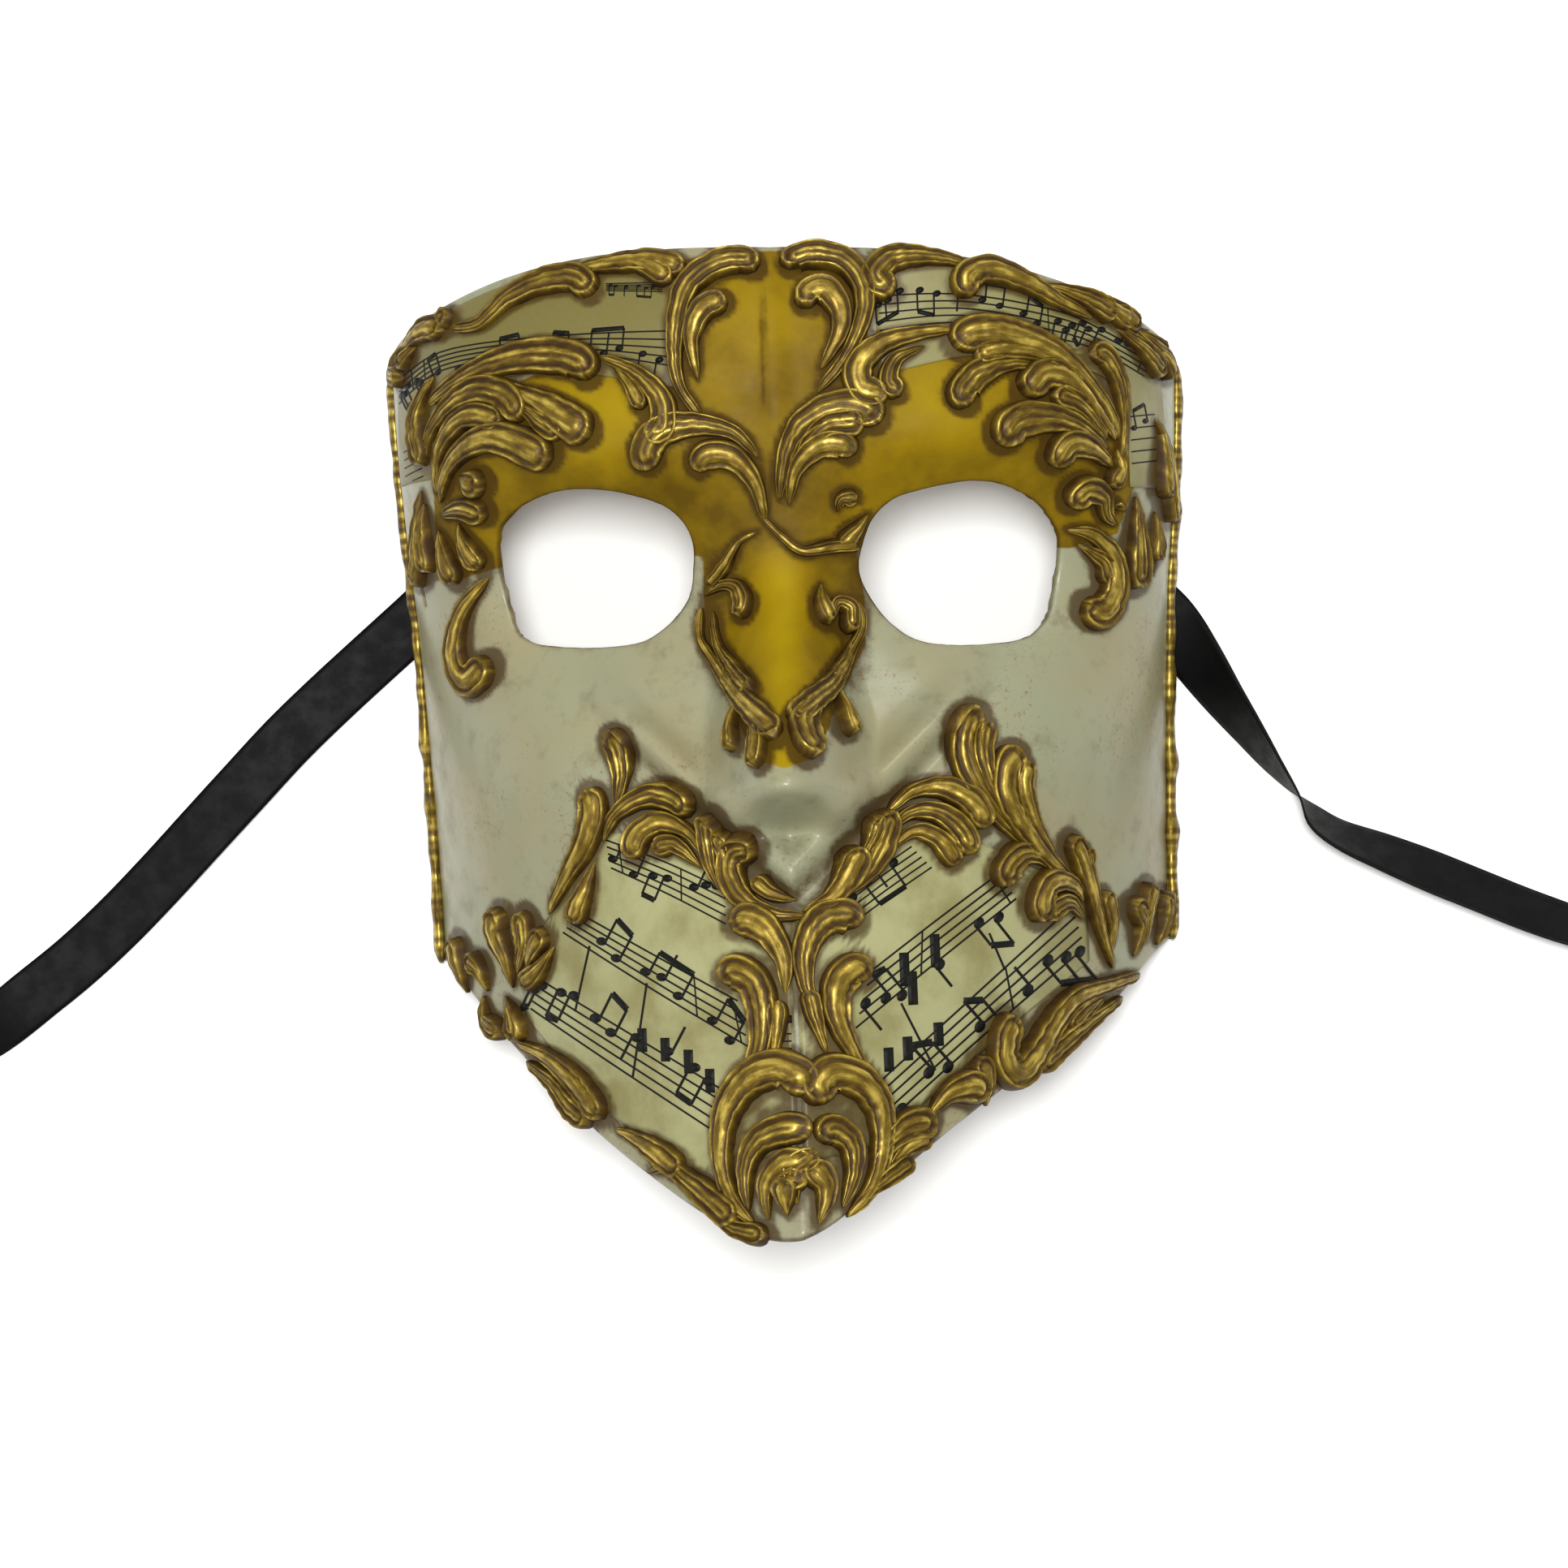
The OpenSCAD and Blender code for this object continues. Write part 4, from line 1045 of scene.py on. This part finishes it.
def hole_field(points):
    """Below zero inside an eye hole or a ribbon slot. Points close to an eye's outline move onto it."""
    flat = points.reshape(-1, 3)
    field = np.full(len(flat), NO_HOLE_NEAR)
    for side in (-1, 1):
        near_eye = np.hypot(flat[:, 0] - EYE_AT[side][0], flat[:, 1] - EYE_AT[side][1]) < EYE_REACH
        rows = np.nonzero(near_eye & (flat[:, 2] > EYE_LOWEST))[0]
        gap, spot = outline_field(eye_outline(side, 0.5), flat[rows, :2])
        close = np.abs(gap) < EYE_SNAP
        flat[rows[close], :2] = spot[close]
        flat[rows[close], 2] = face_z(spot[close][:, 0], spot[close][:, 1])
        field[rows] = np.minimum(field[rows], np.where(close, 0, gap))
    wall = np.abs(flat[:, 0]) > SIDE_FROM
    dy = np.abs(flat[:, 1] - SLOT_AT[0]) - SLOT_HALF[0]
    dz = np.abs(flat[:, 2] - SLOT_AT[1]) - SLOT_HALF[1]
    slot = np.where((dy > 0) & (dz > 0), np.hypot(dy, dz), np.maximum(dy, dz))
    field = np.where(wall, np.minimum(field, slot), field)
    return flat.reshape(points.shape), field


def cut_faces(field, columns, rows):
    """Faces of a grid of quads where the field isn't below zero, and the new points on cut edges."""
    cuts, pairs, faces = {}, [], []
    total = (columns + 1) * (rows + 1)

    def cut(a, b):
        key = (min(a, b), max(a, b))
        if key not in cuts:
            cuts[key] = total + len(pairs)
            pairs.append((*key, field[key[0]] / (field[key[0]] - field[key[1]])))
        return cuts[key]

    for i in range(columns):
        for j in range(rows):
            a = i * (rows + 1) + j
            corners = (a, a + 1, a + rows + 2, a + rows + 1)
            good = [field[k] >= 0 for k in corners]
            if all(good):
                faces.append(corners)
            elif any(field[k] > 0 for k in corners):
                made = []
                for k in range(4):
                    p, q = corners[k], corners[(k + 1) % 4]
                    if good[k]:
                        made.append(p)
                    if field[p] * field[q] < 0:
                        made.append(cut(p, q))
                if len(made) > 2:
                    faces.append(tuple(made))
    return faces, pairs


def border_edges(faces):
    """Directed edges that only one face has."""
    seen = {}
    for f in faces:
        for k in range(len(f)):
            seen[(f[k], f[(k + 1) % len(f)])] = True
    return [e for e in seen if (e[1], e[0]) not in seen]


def round_rim(outer, inner, up, edges):
    """Rings of points that round off the wall's edge, from the outer border to the inner one."""
    out = {}
    for a, b in edges:
        d = np.cross(outer[b] - outer[a], up[a] + up[b])
        for k in (a, b):
            out[k] = out.get(k, 0) + unit(d)
    keys = sorted(out)
    o, i = outer[keys], inner[keys]
    d = unit(np.array([out[k] for k in keys]))
    middle, half = (o + i) / 2, (o - i) / 2
    turns = [math.pi * k / (RIM_ROUND + 1) for k in range(1, RIM_ROUND + 1)]
    rings = np.array([middle + half * math.cos(a) + d * RIM_BULGE * math.sin(a) for a in turns])
    rings[..., 2] = np.maximum(rings[..., 2], 0)
    return {k: n for n, k in enumerate(keys)}, rings


def make_shell():
    outer, inner, up = shell_sheets()
    outer, field = hole_field(outer)
    outer, inner, up = (g.reshape(-1, 3) for g in (outer, inner, up))
    faces, pairs = cut_faces(field, SHELL_ACROSS, SHELL_DOWN)
    a, b = (np.array([p[k] for p in pairs], int) for k in (0, 1))
    t = np.array([p[2] for p in pairs])[:, None]
    outer, inner, up = (np.concatenate([g, g[a] * (1 - t) + g[b] * t]) for g in (outer, inner, up))
    edges = border_edges(faces)
    order, rings = round_rim(outer, inner, up, edges)
    used = np.zeros(len(outer), bool)
    used[np.unique(np.concatenate([np.array(f) for f in faces]))] = True
    number = np.cumsum(used) - 1
    n, m = int(used.sum()), len(order)
    points = np.concatenate([outer[used], rings.reshape(-1, 3), inner[used]])
    made = [tuple(int(number[k]) for k in f) for f in faces]
    marks = [0] * len(made)
    back = n + m * RIM_ROUND
    made += [tuple(int(back + number[k]) for k in reversed(f)) for f in faces]
    marks += [1] * len(faces)

    def level(k, ring):
        if ring == 0:
            return int(number[k])
        return int(back + number[k]) if ring > RIM_ROUND else n + (ring - 1) * m + order[k]

    for p, q in edges:
        for ring in range(RIM_ROUND + 1):
            made.append((level(q, ring), level(p, ring), level(p, ring + 1), level(q, ring + 1)))
            marks.append(0 if ring < 2 else 1)
    skin = Skin()
    x, y = points[:, 0], points[:, 1]
    rim = np.zeros(len(points))
    rim[n:back] = 0.35
    # Brown wash and painted shade from the relief and round the eye holes, and a darker rounded rim.
    wash = np.clip(wash_at(x, y) + rim + eye_wash_and_shade(x, y), 0, 1)
    skin.add(points, made, gold=gold_at(x, y), wash=wash, glow=glow_at(x, y))
    skin.marks = marks
    skin.make("mask_shell", ["shell"], [SHELL_PAINT, SHELL_RAW])


def eye_wash_and_shade(x, y):
    """Brown wash and painted shade round the eye holes."""
    made = np.zeros(len(x))
    for side in (-1, 1):
        rows = np.nonzero(np.hypot(x - EYE_AT[side][0], y - EYE_AT[side][1]) < EYE_SHADE_REACH)[0]
        gap = outline_field(eye_outline(side), np.stack([x[rows], y[rows]], 1))[0]
        made[rows] = 0.3 * np.exp(-np.abs(gap) / 1.6)
    return made


# ---- music paper and its notation

PAPER_T = 0.25
PAPER_GAP = 0.12
PAPER_COLUMNS = 56
PAPER_ROWS = 44
INK_HALF = 0.1
PAPERS = {
    "paper_brow_left": (
        [(-20, 103.5), (-44, 102.5), (-66, 97.5), (-82, 88.5), (-85, 60)],
        [(-20, 75), (-44, 80), (-64, 79), (-74, 73), (-75, 60)],
    ),
    "paper_brow_right": (
        [(22, 76), (44, 80), (66, 77), (74, 70), (75, 52)],
        [(22, 102), (44, 99.5), (66, 92.5), (81, 83), (84, 52)],
    ),
    "paper_chin_left": (
        [(-0.5, -38), (-14, -29), (-39, -18), (-50, -31), (-60, -46)],
        [(-0.5, -87), (-14, -86), (-22, -89), (-42, -77), (-60, -57)],
    ),
    "paper_chin_right": (
        [(0.5, -87), (14, -85), (27, -76), (44, -63), (62, -50)],
        [(0.5, -38), (13, -30), (27, -20), (45, -26), (62, -36)],
    ),
}
# A stave is its upper and its lower line, in the direction of reading, and the size of its notes.
STAVES = {
    "paper_brow_left": [
        (
            [(-85, 82), (-81, 84), (-70, 87.5), (-43.5, 88), (-21, 87.5)],
            [(-85, 77), (-80.5, 79.5), (-70, 83.5), (-43.5, 84), (-21, 80)], 0.75,
        ),
        ([(-35, 98.5), (-23, 98)], [(-35, 97), (-23, 96)], 0.4),
        ([(-83, 67), (-79, 68)], [(-83, 60), (-78, 61)], 0.6),
    ],
    "paper_brow_right": [
        (
            [(21.5, 93), (40, 93), (60, 89.5), (70, 85.5), (81, 80)],
            [(21.5, 85.5), (40, 87), (60, 83.5), (69, 81), (79, 76)], 0.75,
        ),
        ([(75, 67), (81, 68)], [(75, 57), (81, 58)], 0.6),
    ],
    "paper_chin_left": [
        ([(-39.5, -19.5), (-26, -25), (-14, -31)], [(-38.5, -25.5), (-26, -31.5), (-14, -38)], 0.9),
        ([(-46, -35), (-29, -44.5), (-12, -54)], [(-50, -39), (-30, -51.5), (-10, -63.5)], 1.0),
        ([(-58, -48), (-36, -60.5), (-14, -73.5)], [(-58.5, -55.5), (-37, -69), (-15.5, -82.5)], 1.1),
        ([(-4, -61), (-1, -61)], [(-4, -67), (-1, -67)], 0.8),
    ],
    "paper_chin_right": [
        ([(11, -33), (18, -28), (25, -23.5)], [(13.5, -38), (21, -33), (29, -28)], 0.9),
        ([(15.5, -49), (29, -39.5), (43, -30)], [(12, -60.5), (29, -48), (46.5, -35.5)], 1.1),
        ([(17, -71.5), (38, -54.5), (58.5, -38)], [(17.5, -80.5), (39, -63.5), (61, -47)], 1.2),
    ],
}
# Heavier marks of the printed music: a width and a route
MARKS = {
    "paper_brow_left": [(2.0, [(-81, 76.5), (-79, 76.5)])],
    "paper_brow_right": [],
    "paper_chin_left": [
        (0.45, [(-44, -42), (-48, -56)]), (0.45, [(-31.5, -50), (-35.5, -70)]),
        (2, [(-33, -59.5), (-33, -64.5)]), (2, [(-28, -61.5), (-28, -66.5)]),
        (2, [(-23, -64), (-23, -69)]), (2, [(-18.5, -68), (-18.5, -73)]),
        (1.6, [(-2.2, -58), (-0.8, -58)]),
    ],
    "paper_chin_right": [
        (0.45, [(21.5, -56), (28, -70.5)]), (0.45, [(40.5, -42.5), (43.5, -50.5)]),
        (2, [(22.5, -45.5), (22.5, -52.5)]), (2, [(24, -49.5), (24, -56.5)]), (2, [(29, -42), (29, -49)]),
        (2, [(18.5, -65), (18.5, -70)]), (2, [(22.5, -63), (22.5, -68)]), (2, [(29, -60.5), (29, -65.5)]),
    ],
}


class Ink:
    """Thin closed pieces of ink that lie on a sheet."""

    def __init__(self, skin):
        self.skin = skin

    def lay(self, x, y, high):
        return on_face(x, y) + face_up(x, y) * (PAPER_GAP + PAPER_T + high)

    def bar(self, route, width, step=1.2):
        """A stroke of the pen or a printed line along the route."""
        p, _ = even_steps(np.array(route, float), step)
        along = unit(np.gradient(p, axis=0))
        side = np.stack([-along[:, 1], along[:, 0]], 1) * width / 2
        left, right = p + side, p - side
        corners = [(left, -INK_HALF), (right, -INK_HALF), (right, INK_HALF), (left, INK_HALF)]
        rings = np.stack([self.lay(q[:, 0], q[:, 1], high) for q, high in corners], 1)
        faces = [tuple(reversed(f)) for f in tube_faces(len(p), 4)]
        self.skin.add(rings, faces, mark=1)

    def head(self, x, y, wide, high, turn):
        """A filled note head."""
        n = 12
        a = np.linspace(0, 2 * math.pi, n, endpoint=False)
        u, v = wide / 2 * np.cos(a), high / 2 * np.sin(a)
        hx = x + u * math.cos(turn) - v * math.sin(turn)
        hy = y + u * math.sin(turn) + v * math.cos(turn)
        points = np.concatenate([self.lay(hx, hy, -INK_HALF), self.lay(hx, hy, INK_HALF + 0.01)])
        faces = [(k, (k + 1) % n, n + (k + 1) % n, n + k) for k in range(n)]
        faces += [tuple(range(n - 1, -1, -1)), tuple(range(n, 2 * n))]
        self.skin.add(points, faces, mark=1)


def stave_spot(top, bottom, f, level):
    """A point of a stave: f along it from 0 to 1, level from 0 at its lower line to 4 at its upper one."""
    t, b = (
        np.stack([np.interp(f, np.linspace(0, 1, len(line)), line[:, k]) for k in (0, 1)], -1)
        for line in (top, bottom)
    )
    return b + (t - b) * (level / 4)


def write_stave(ink, upper, lower, size, pick, inside):
    """Five lines, bar lines and a run of made-up notes."""
    top, bottom = curve_through(upper, 8), curve_through(lower, 8)
    length = np.linalg.norm(np.diff(top, axis=0), axis=1).sum()
    for k in range(5):
        line = stave_spot(top, bottom, np.linspace(0, 1, 40), k)
        keep = inside(line)
        for run in np.split(line, np.nonzero(~keep)[0]):
            run = run[inside(run)]
            if len(run) > 2:
                ink.bar(run, 0.36 * size**0.5)
    f = 1.5 / length
    level = 2.0
    while f < 1 - 3 / length:
        count = pick.choice((1, 2, 2, 3))
        gap = pick.uniform(2.6, 3.8) * size / length
        up = 1 if pick.random() < 0.5 else -1
        ends = []
        for _ in range(count):
            level = min(4.5, max(-0.5, level + pick.choice((-1, -0.5, 0.5, 1))))
            spot = stave_spot(top, bottom, f, level)
            ahead = stave_spot(top, bottom, min(1, f + 0.01), level)
            turn = math.atan2(ahead[1] - spot[1], ahead[0] - spot[0])
            if inside(np.array([spot]))[0]:
                ends.append(write_note(ink, spot, turn, size, up, pick))
            f += gap
        if len(ends) > 1:
            ink.bar([ends[0], ends[-1]], 1.25 * size)
        if pick.random() < 0.3:
            cross = [stave_spot(top, bottom, f, 0), stave_spot(top, bottom, f, 4)]
            if inside(np.array(cross)).all():
                ink.bar(cross, 0.3 * size)
        f += pick.uniform(1.2, 3.5) * size / length


def write_note(ink, spot, turn, size, up, pick):
    """One note: a head and its stem. Returns the stem's far end."""
    ink.head(spot[0], spot[1], 2.4 * size, 1.8 * size, turn + 0.35)
    right = np.array([math.cos(turn), math.sin(turn)])
    above = np.array([-right[1], right[0]])
    foot_at = spot + right * 0.8 * size * up
    tip = foot_at + above * up * pick.uniform(4.6, 6.2) * size
    ink.bar([foot_at, tip], 0.5 * size)
    return tip


def paper_grid(edge_a, edge_b, columns, rows):
    a = even_steps(curve_through(edge_a, 8), 1, columns + 1)[0]
    b = even_steps(curve_through(edge_b, 8), 1, columns + 1)[0]
    v = np.linspace(0, 1, rows + 1)[None, :, None]
    return a[:, None] * (1 - v) + b[:, None] * v


def sheet_faces(columns, rows):
    m = rows + 1
    far = (columns + 1) * m
    first = [i * m + j for i in range(columns) for j in range(rows)]
    top = [(a, a + m, a + m + 1, a + 1) for a in first]
    loop = (
        [i * m for i in range(columns)] + [columns * m + j for j in range(rows)]
        + [i * m + rows for i in range(columns, 0, -1)] + list(range(rows, 0, -1))
    )
    edge = [(b, a, a + far, b + far) for a, b in zip(loop, loop[1:] + loop[:1])]
    return top + [tuple(k + far for k in reversed(f)) for f in top] + edge


def make_papers():
    for number, (name, (edge_a, edge_b)) in enumerate(PAPERS.items()):
        grid = paper_grid(edge_a, edge_b, PAPER_COLUMNS, PAPER_ROWS)
        x, y = grid[..., 0].ravel(), grid[..., 1].ravel()
        limit = read(HALF_W, y) - 0.3
        x = np.clip(x, -limit, limit)
        base, up = on_face(x, y), face_up(x, y)
        points = np.concatenate([base + up * (PAPER_GAP + PAPER_T), base + up * PAPER_GAP])
        skin = Skin()
        # The same brown wash and painted shade beside the relief, a little weaker.
        wash = np.tile(wash_at(x, y) * 0.9, 2)
        grey = 1.0 if name == "paper_brow_left" else 0.55 if "brow" in name else 0.0
        skin.add(points, sheet_faces(PAPER_COLUMNS, PAPER_ROWS), wash=wash, grey=grey)
        outline = np.concatenate([grid[:, 0], grid[-1, 1:], grid[::-1, -1][1:], grid[0, ::-1][1:-1]])

        def inside(spots, outline=outline):
            return outline_field(outline, np.asarray(spots, float).reshape(-1, 2))[0] < -0.4

        ink = Ink(skin)
        pick = random.Random(40 + number)
        for upper, lower, size in STAVES[name]:
            write_stave(ink, upper, lower, size, pick, inside)
        for width, route in MARKS[name]:
            ink.bar(route, width)
        skin.make("sheet_" + name, [name], [SHEET, INKED])


# ---- gilt bead along the side rims

BORDER_ENDS = {-1: (87, -46.5), 1: (81, -47.5)}
BORDER_AROUND = 16
BORDER_KNOBS = {-1: [(2, 0.35), (-11, 0.35)], 1: [(48, 0.3), (-8, 0.45), (-23, 0.45), (12, 0.25)]}


def make_borders():
    for side, name in ((-1, "side_border_left"), (1, "side_border_right")):
        first, last = BORDER_ENDS[side]
        y = np.arange(first, last, -0.6)
        swell = 1 + 0.25 * Wobble(300 + side, 14)(y) + 0.05 * Wobble(310 + side, 5)(y)
        for at, more in BORDER_KNOBS[side]:
            swell = swell + more * bell((y - at) / 2.6)
        ends = np.sqrt(np.clip(np.minimum(first - y, y - last) / 3, 0.02, 1))
        r = 1.9 * swell * ends
        a = np.linspace(0, 2 * math.pi, BORDER_AROUND, endpoint=False)
        cx = side * (read(HALF_W, y) + 0.35)
        cz = foot(y) + 3.6
        rings = np.stack([
            cx[:, None] + 0.75 * r[:, None] * np.cos(a),
            np.repeat(y[:, None], BORDER_AROUND, 1),
            cz[:, None] + 1.7 * r[:, None] * np.sin(a),
        ], -1)
        # Random dents in the gilding, with a painted highlight along the bead's top and painted shade
        # under it.
        dents = 0.55 + 0.5 * Wobble(320 + side, 3.2)(y)
        ridge = np.clip(dents[:, None] + 0.25 * np.cos(a - math.pi / 2), 0, 1)
        skin = Skin()
        skin.add(
            rings, tube_faces(len(y), BORDER_AROUND), ridge=ridge, across=np.tile(a * 1.9, len(y)),
            along=np.repeat(y, BORDER_AROUND), seed=10.0 + side,
        )
        skin.make("gilt_" + name, [name], [GILT])


# ---- ribbons

RIBBON_W = 12.7
RIBBON_T = 0.4
RIBBON_LENGTH = 450
# The route's point where a ribbon comes out from under the mask
EXIT_POINT = 4
# A route's points: x, y, z, then the compass angle and the tilt of the ribbon's width
LEFT_ROUTE = [
    (-75, 44, 20, 60, 20), (-74, 41, 10, 90, 12), (-75, 38, 4, 118, 4), (-80, 35, 1, 131, 0),
    (-86, 30, 0.8, 131, 0), (-95, 22.5, 0.8, 131, 0), (-105, 14, 1.2, 132, 2), (-115, 5, 1.8, 134, 3),
    (-125, -5, 2.2, 135, 3), (-135, -15, 2, 135, -2), (-145, -25, 1.4, 135, -2), (-155, -34.5, 1, 134, 0),
    (-165, -43, 1, 131, 0), (-175, -50.5, 1.6, 128, 6), (-184, -57.5, 3.6, 127, 28),
    (-192, -63.5, 6, 126, 62), (-200, -69.5, 7, 124, 90),
]
RIGHT_ROUTE = [
    (75, 40, 20, 120, 20), (74, 36, 10, 90, 12), (75, 32, 4, 60, 4), (79, 29, 1, 40, 0),
    (84, 24, 0.8, 36, 4), (90, 14.5, 3.2, 34, 28), (95, 6.5, 4.8, 34, 46), (100, -1, 5.9, 36, 60),
    (105, -8.5, 6.5, 38, 73), (110.5, -16, 6.9, 46, 90), (114, -21, 6.4, 56, 112),
    (120, -25.5, 6, 64, 120), (130, -30, 5.4, 66, 130), (140, -34.5, 5, 66, 136),
    (150, -39, 4.9, 67, 136), (160, -43.5, 4.9, 68, 136), (170, -47.5, 5, 68, 134),
    (180, -51, 5.8, 70, 125), (190, -54.5, 6.6, 72, 105), (200, -57.5, 7, 75, 92),
    (208, -59.5, 7, 75, 90),
]
# The spiral that takes up the unseen rest: its middle, first angle, outer radius and turn
LEFT_COIL = ((-216, -46), -55.8, 28.4, -1)
RIGHT_COIL = ((215.5, -32), 254.7, 28.4, 1)
COIL_INNER = 17.2
COIL_STEP_DEG = 8
COIL_Z = 7.0
RIBBON_STEP = 1.5
RIBBON_LOWEST = 0.05
KNOT_AT = (73.5, 39.5, 24.0)
# The knot's loops: the turn of each and its size
KNOT_LOOPS = ((0.4, 3.4), (1.9, 3.0), (2.8, 2.5))


def wide_way(compass, tilt):
    a, b = np.radians(compass), np.radians(tilt)
    return np.stack([np.cos(a) * np.cos(b), np.sin(a) * np.cos(b), np.sin(b)], -1)


def spiral(middle, first, radius, turn, length):
    """The wound part, standing on its edge, long enough to use up the length."""
    turns = length / (math.pi * (radius + COIL_INNER))
    n = int(turns * 360 / COIL_STEP_DEG)
    a = np.radians(first) + turn * np.linspace(0, turns * 2 * math.pi, n)
    r = np.linspace(radius, COIL_INNER, n)
    return np.stack([middle[0] + r * np.cos(a), middle[1] + r * np.sin(a), np.full(n, COIL_Z)], 1)


def ribbon_line(route, coil):
    """Centreline and width direction of a whole ribbon, at even steps."""
    spots = curve_through([p[:3] for p in route], 8)
    wide = wide_way(*curve_through([p[3:] for p in route], 8).T)
    used = np.linalg.norm(np.diff(spots, axis=0), axis=1).sum()
    wound = spiral(*coil, RIBBON_LENGTH - used)
    line = np.concatenate([spots, wound[1:]])
    wide = np.concatenate([wide, np.tile([0.0, 0.0, 1.0], (len(wound) - 1, 1))])
    both, _ = even_steps(np.concatenate([line, wide], 1), RIBBON_STEP)
    return both[:, :3], both[:, 3:]


def make_ribbon(side, word, route, coil):
    line, wide = ribbon_line(route, coil)
    along = unit(np.gradient(line, axis=0))
    wide = unit(wide - along * (wide * along).sum(-1, keepdims=True))
    out = np.cross(along, wide)
    at = run_along(line)
    t = np.linspace(-1, 1, 11)
    curl = 0.12 * Wobble(400 + side, 30)(at)[:, None] * (1 - t**2)
    thick = RIBBON_T / 2 * np.where(np.abs(t) > 0.9, 1.25, 1.0)
    spread = line[:, None] + wide[:, None] * (t * RIBBON_W / 2)[None, :, None]
    top = spread + out[:, None] * (curl + thick)[..., None]
    low = spread + out[:, None] * (curl - thick)[..., None]
    rings = np.concatenate([top, low[:, ::-1]], 1)
    rings[..., 2] = np.maximum(rings[..., 2], RIBBON_LOWEST)
    across = np.concatenate([t, t[::-1]]) * RIBBON_W / 2
    around = rings.shape[1]
    skin = Skin()
    skin.add(
        rings, [tuple(reversed(f)) for f in tube_faces(len(line), around)],
        along=np.repeat(at, around), across=np.tile(across, len(line)),
    )
    made = skin.make("ribbon_satin_" + word, ["ribbon_" + word, "ribbon_coil_" + word], [SATIN])
    exit_at = [c * MM for c in route[EXIT_POINT][:3]]
    return made, exit_at, (line * MM).tolist()


def make_knot(side, word):
    """A small knot: loops of ribbon pulled tight round each other."""
    skin = Skin()
    middle = np.array([side * KNOT_AT[0], *KNOT_AT[1:]])
    for k, (turn, size) in enumerate(KNOT_LOOPS):
        a = np.linspace(0, 2 * math.pi, 41)[:-1]
        axis_x = np.array([math.cos(turn), math.sin(turn), 0.25])
        axis_y = np.array([-math.sin(turn) * 0.5, math.cos(turn) * 0.5, 0.85])
        ring = middle + size * 0.62 * (np.cos(a)[:, None] * axis_x + np.sin(a)[:, None] * axis_y)
        b = np.linspace(0, 2 * math.pi, 12, endpoint=False)
        out = unit(ring - middle)
        way = unit(np.cross(out, unit(np.roll(ring, -1, 0) - np.roll(ring, 1, 0))))
        thick, wide = (1.0 * np.cos(b))[None, :, None], (1.9 * np.sin(b))[None, :, None]
        tube = ring[:, None] + out[:, None] * thick + way[:, None] * wide
        n, m = tube.shape[:2]
        faces = [
            (i * m + j, i * m + (j + 1) % m, ((i + 1) % n) * m + (j + 1) % m, ((i + 1) % n) * m + j)
            for i in range(n) for j in range(m)
        ]
        skin.add(tube, faces, along=np.repeat(a * 3 + k, m), across=np.tile(b * 2, n))
    return skin.make("ribbon_tied_" + word, ["ribbon_knot_" + word], [SATIN])


def make_ribbons():
    both = ((-1, "left", LEFT_ROUTE, LEFT_COIL), (1, "right", RIGHT_ROUTE, RIGHT_COIL))
    for side, word, route, coil in both:
        knot = make_knot(side, word)
        made, exit_at, path = make_ribbon(side, word, route, coil)


# ---- floor and light

# The floor and the lights are placed in metres
FLOOR_HALF = 3.0
AIM = (0, 0, 0.05)
WORLD_STRENGTH = 0.42


def make_floor():
    mesh = bpy.data.meshes.new("floor")
    r = FLOOR_HALF
    mesh.from_pydata([(-r, -r, 0), (r, -r, 0), (r, r, 0), (-r, r, 0)], [], [(0, 1, 2, 3)])
    mesh.materials.append(pale_floor())
    floor = bpy.data.objects.new("floor", mesh)
    bpy.context.scene.collection.objects.link(floor)


def soft_light(name, place, target, size, power, color):
    data = bpy.data.lights.new(name, "AREA")
    data.shape = "RECTANGLE"
    data.size, data.size_y = size
    data.energy = power
    data.color = color
    lamp = bpy.data.objects.new(name, data)
    way = Vector(target) - Vector(place)
    lamp.matrix_world = Matrix.Translation(place) @ way.to_track_quat("-Z", "Y").to_matrix().to_4x4()
    bpy.context.scene.collection.objects.link(lamp)


def make_light():
    soft_light("front", (0.02, 0.12, 1.8), AIM, (0.35, 0.35), 32, (1, 1, 0.99))
    soft_light("key", (0.35, 0.8, 1.1), AIM, (0.4, 0.4), 5, (1, 0.98, 0.95))
    soft_light("fill", (-0.9, -0.2, 0.9), AIM, (0.7, 0.7), 3, (0.97, 0.98, 1))
    world = bpy.data.worlds.new("studio")
    world.use_nodes = True
    sky = world.node_tree.nodes["Background"].inputs
    sky["Color"].default_value = (1, 1, 1, 1)
    sky["Strength"].default_value = WORLD_STRENGTH
    bpy.context.scene.world = world
    bpy.context.scene.view_settings.view_transform = "Standard"


make_ribbons()
make_shell()
make_papers()
make_relief()
make_borders()
make_floor()
make_light()
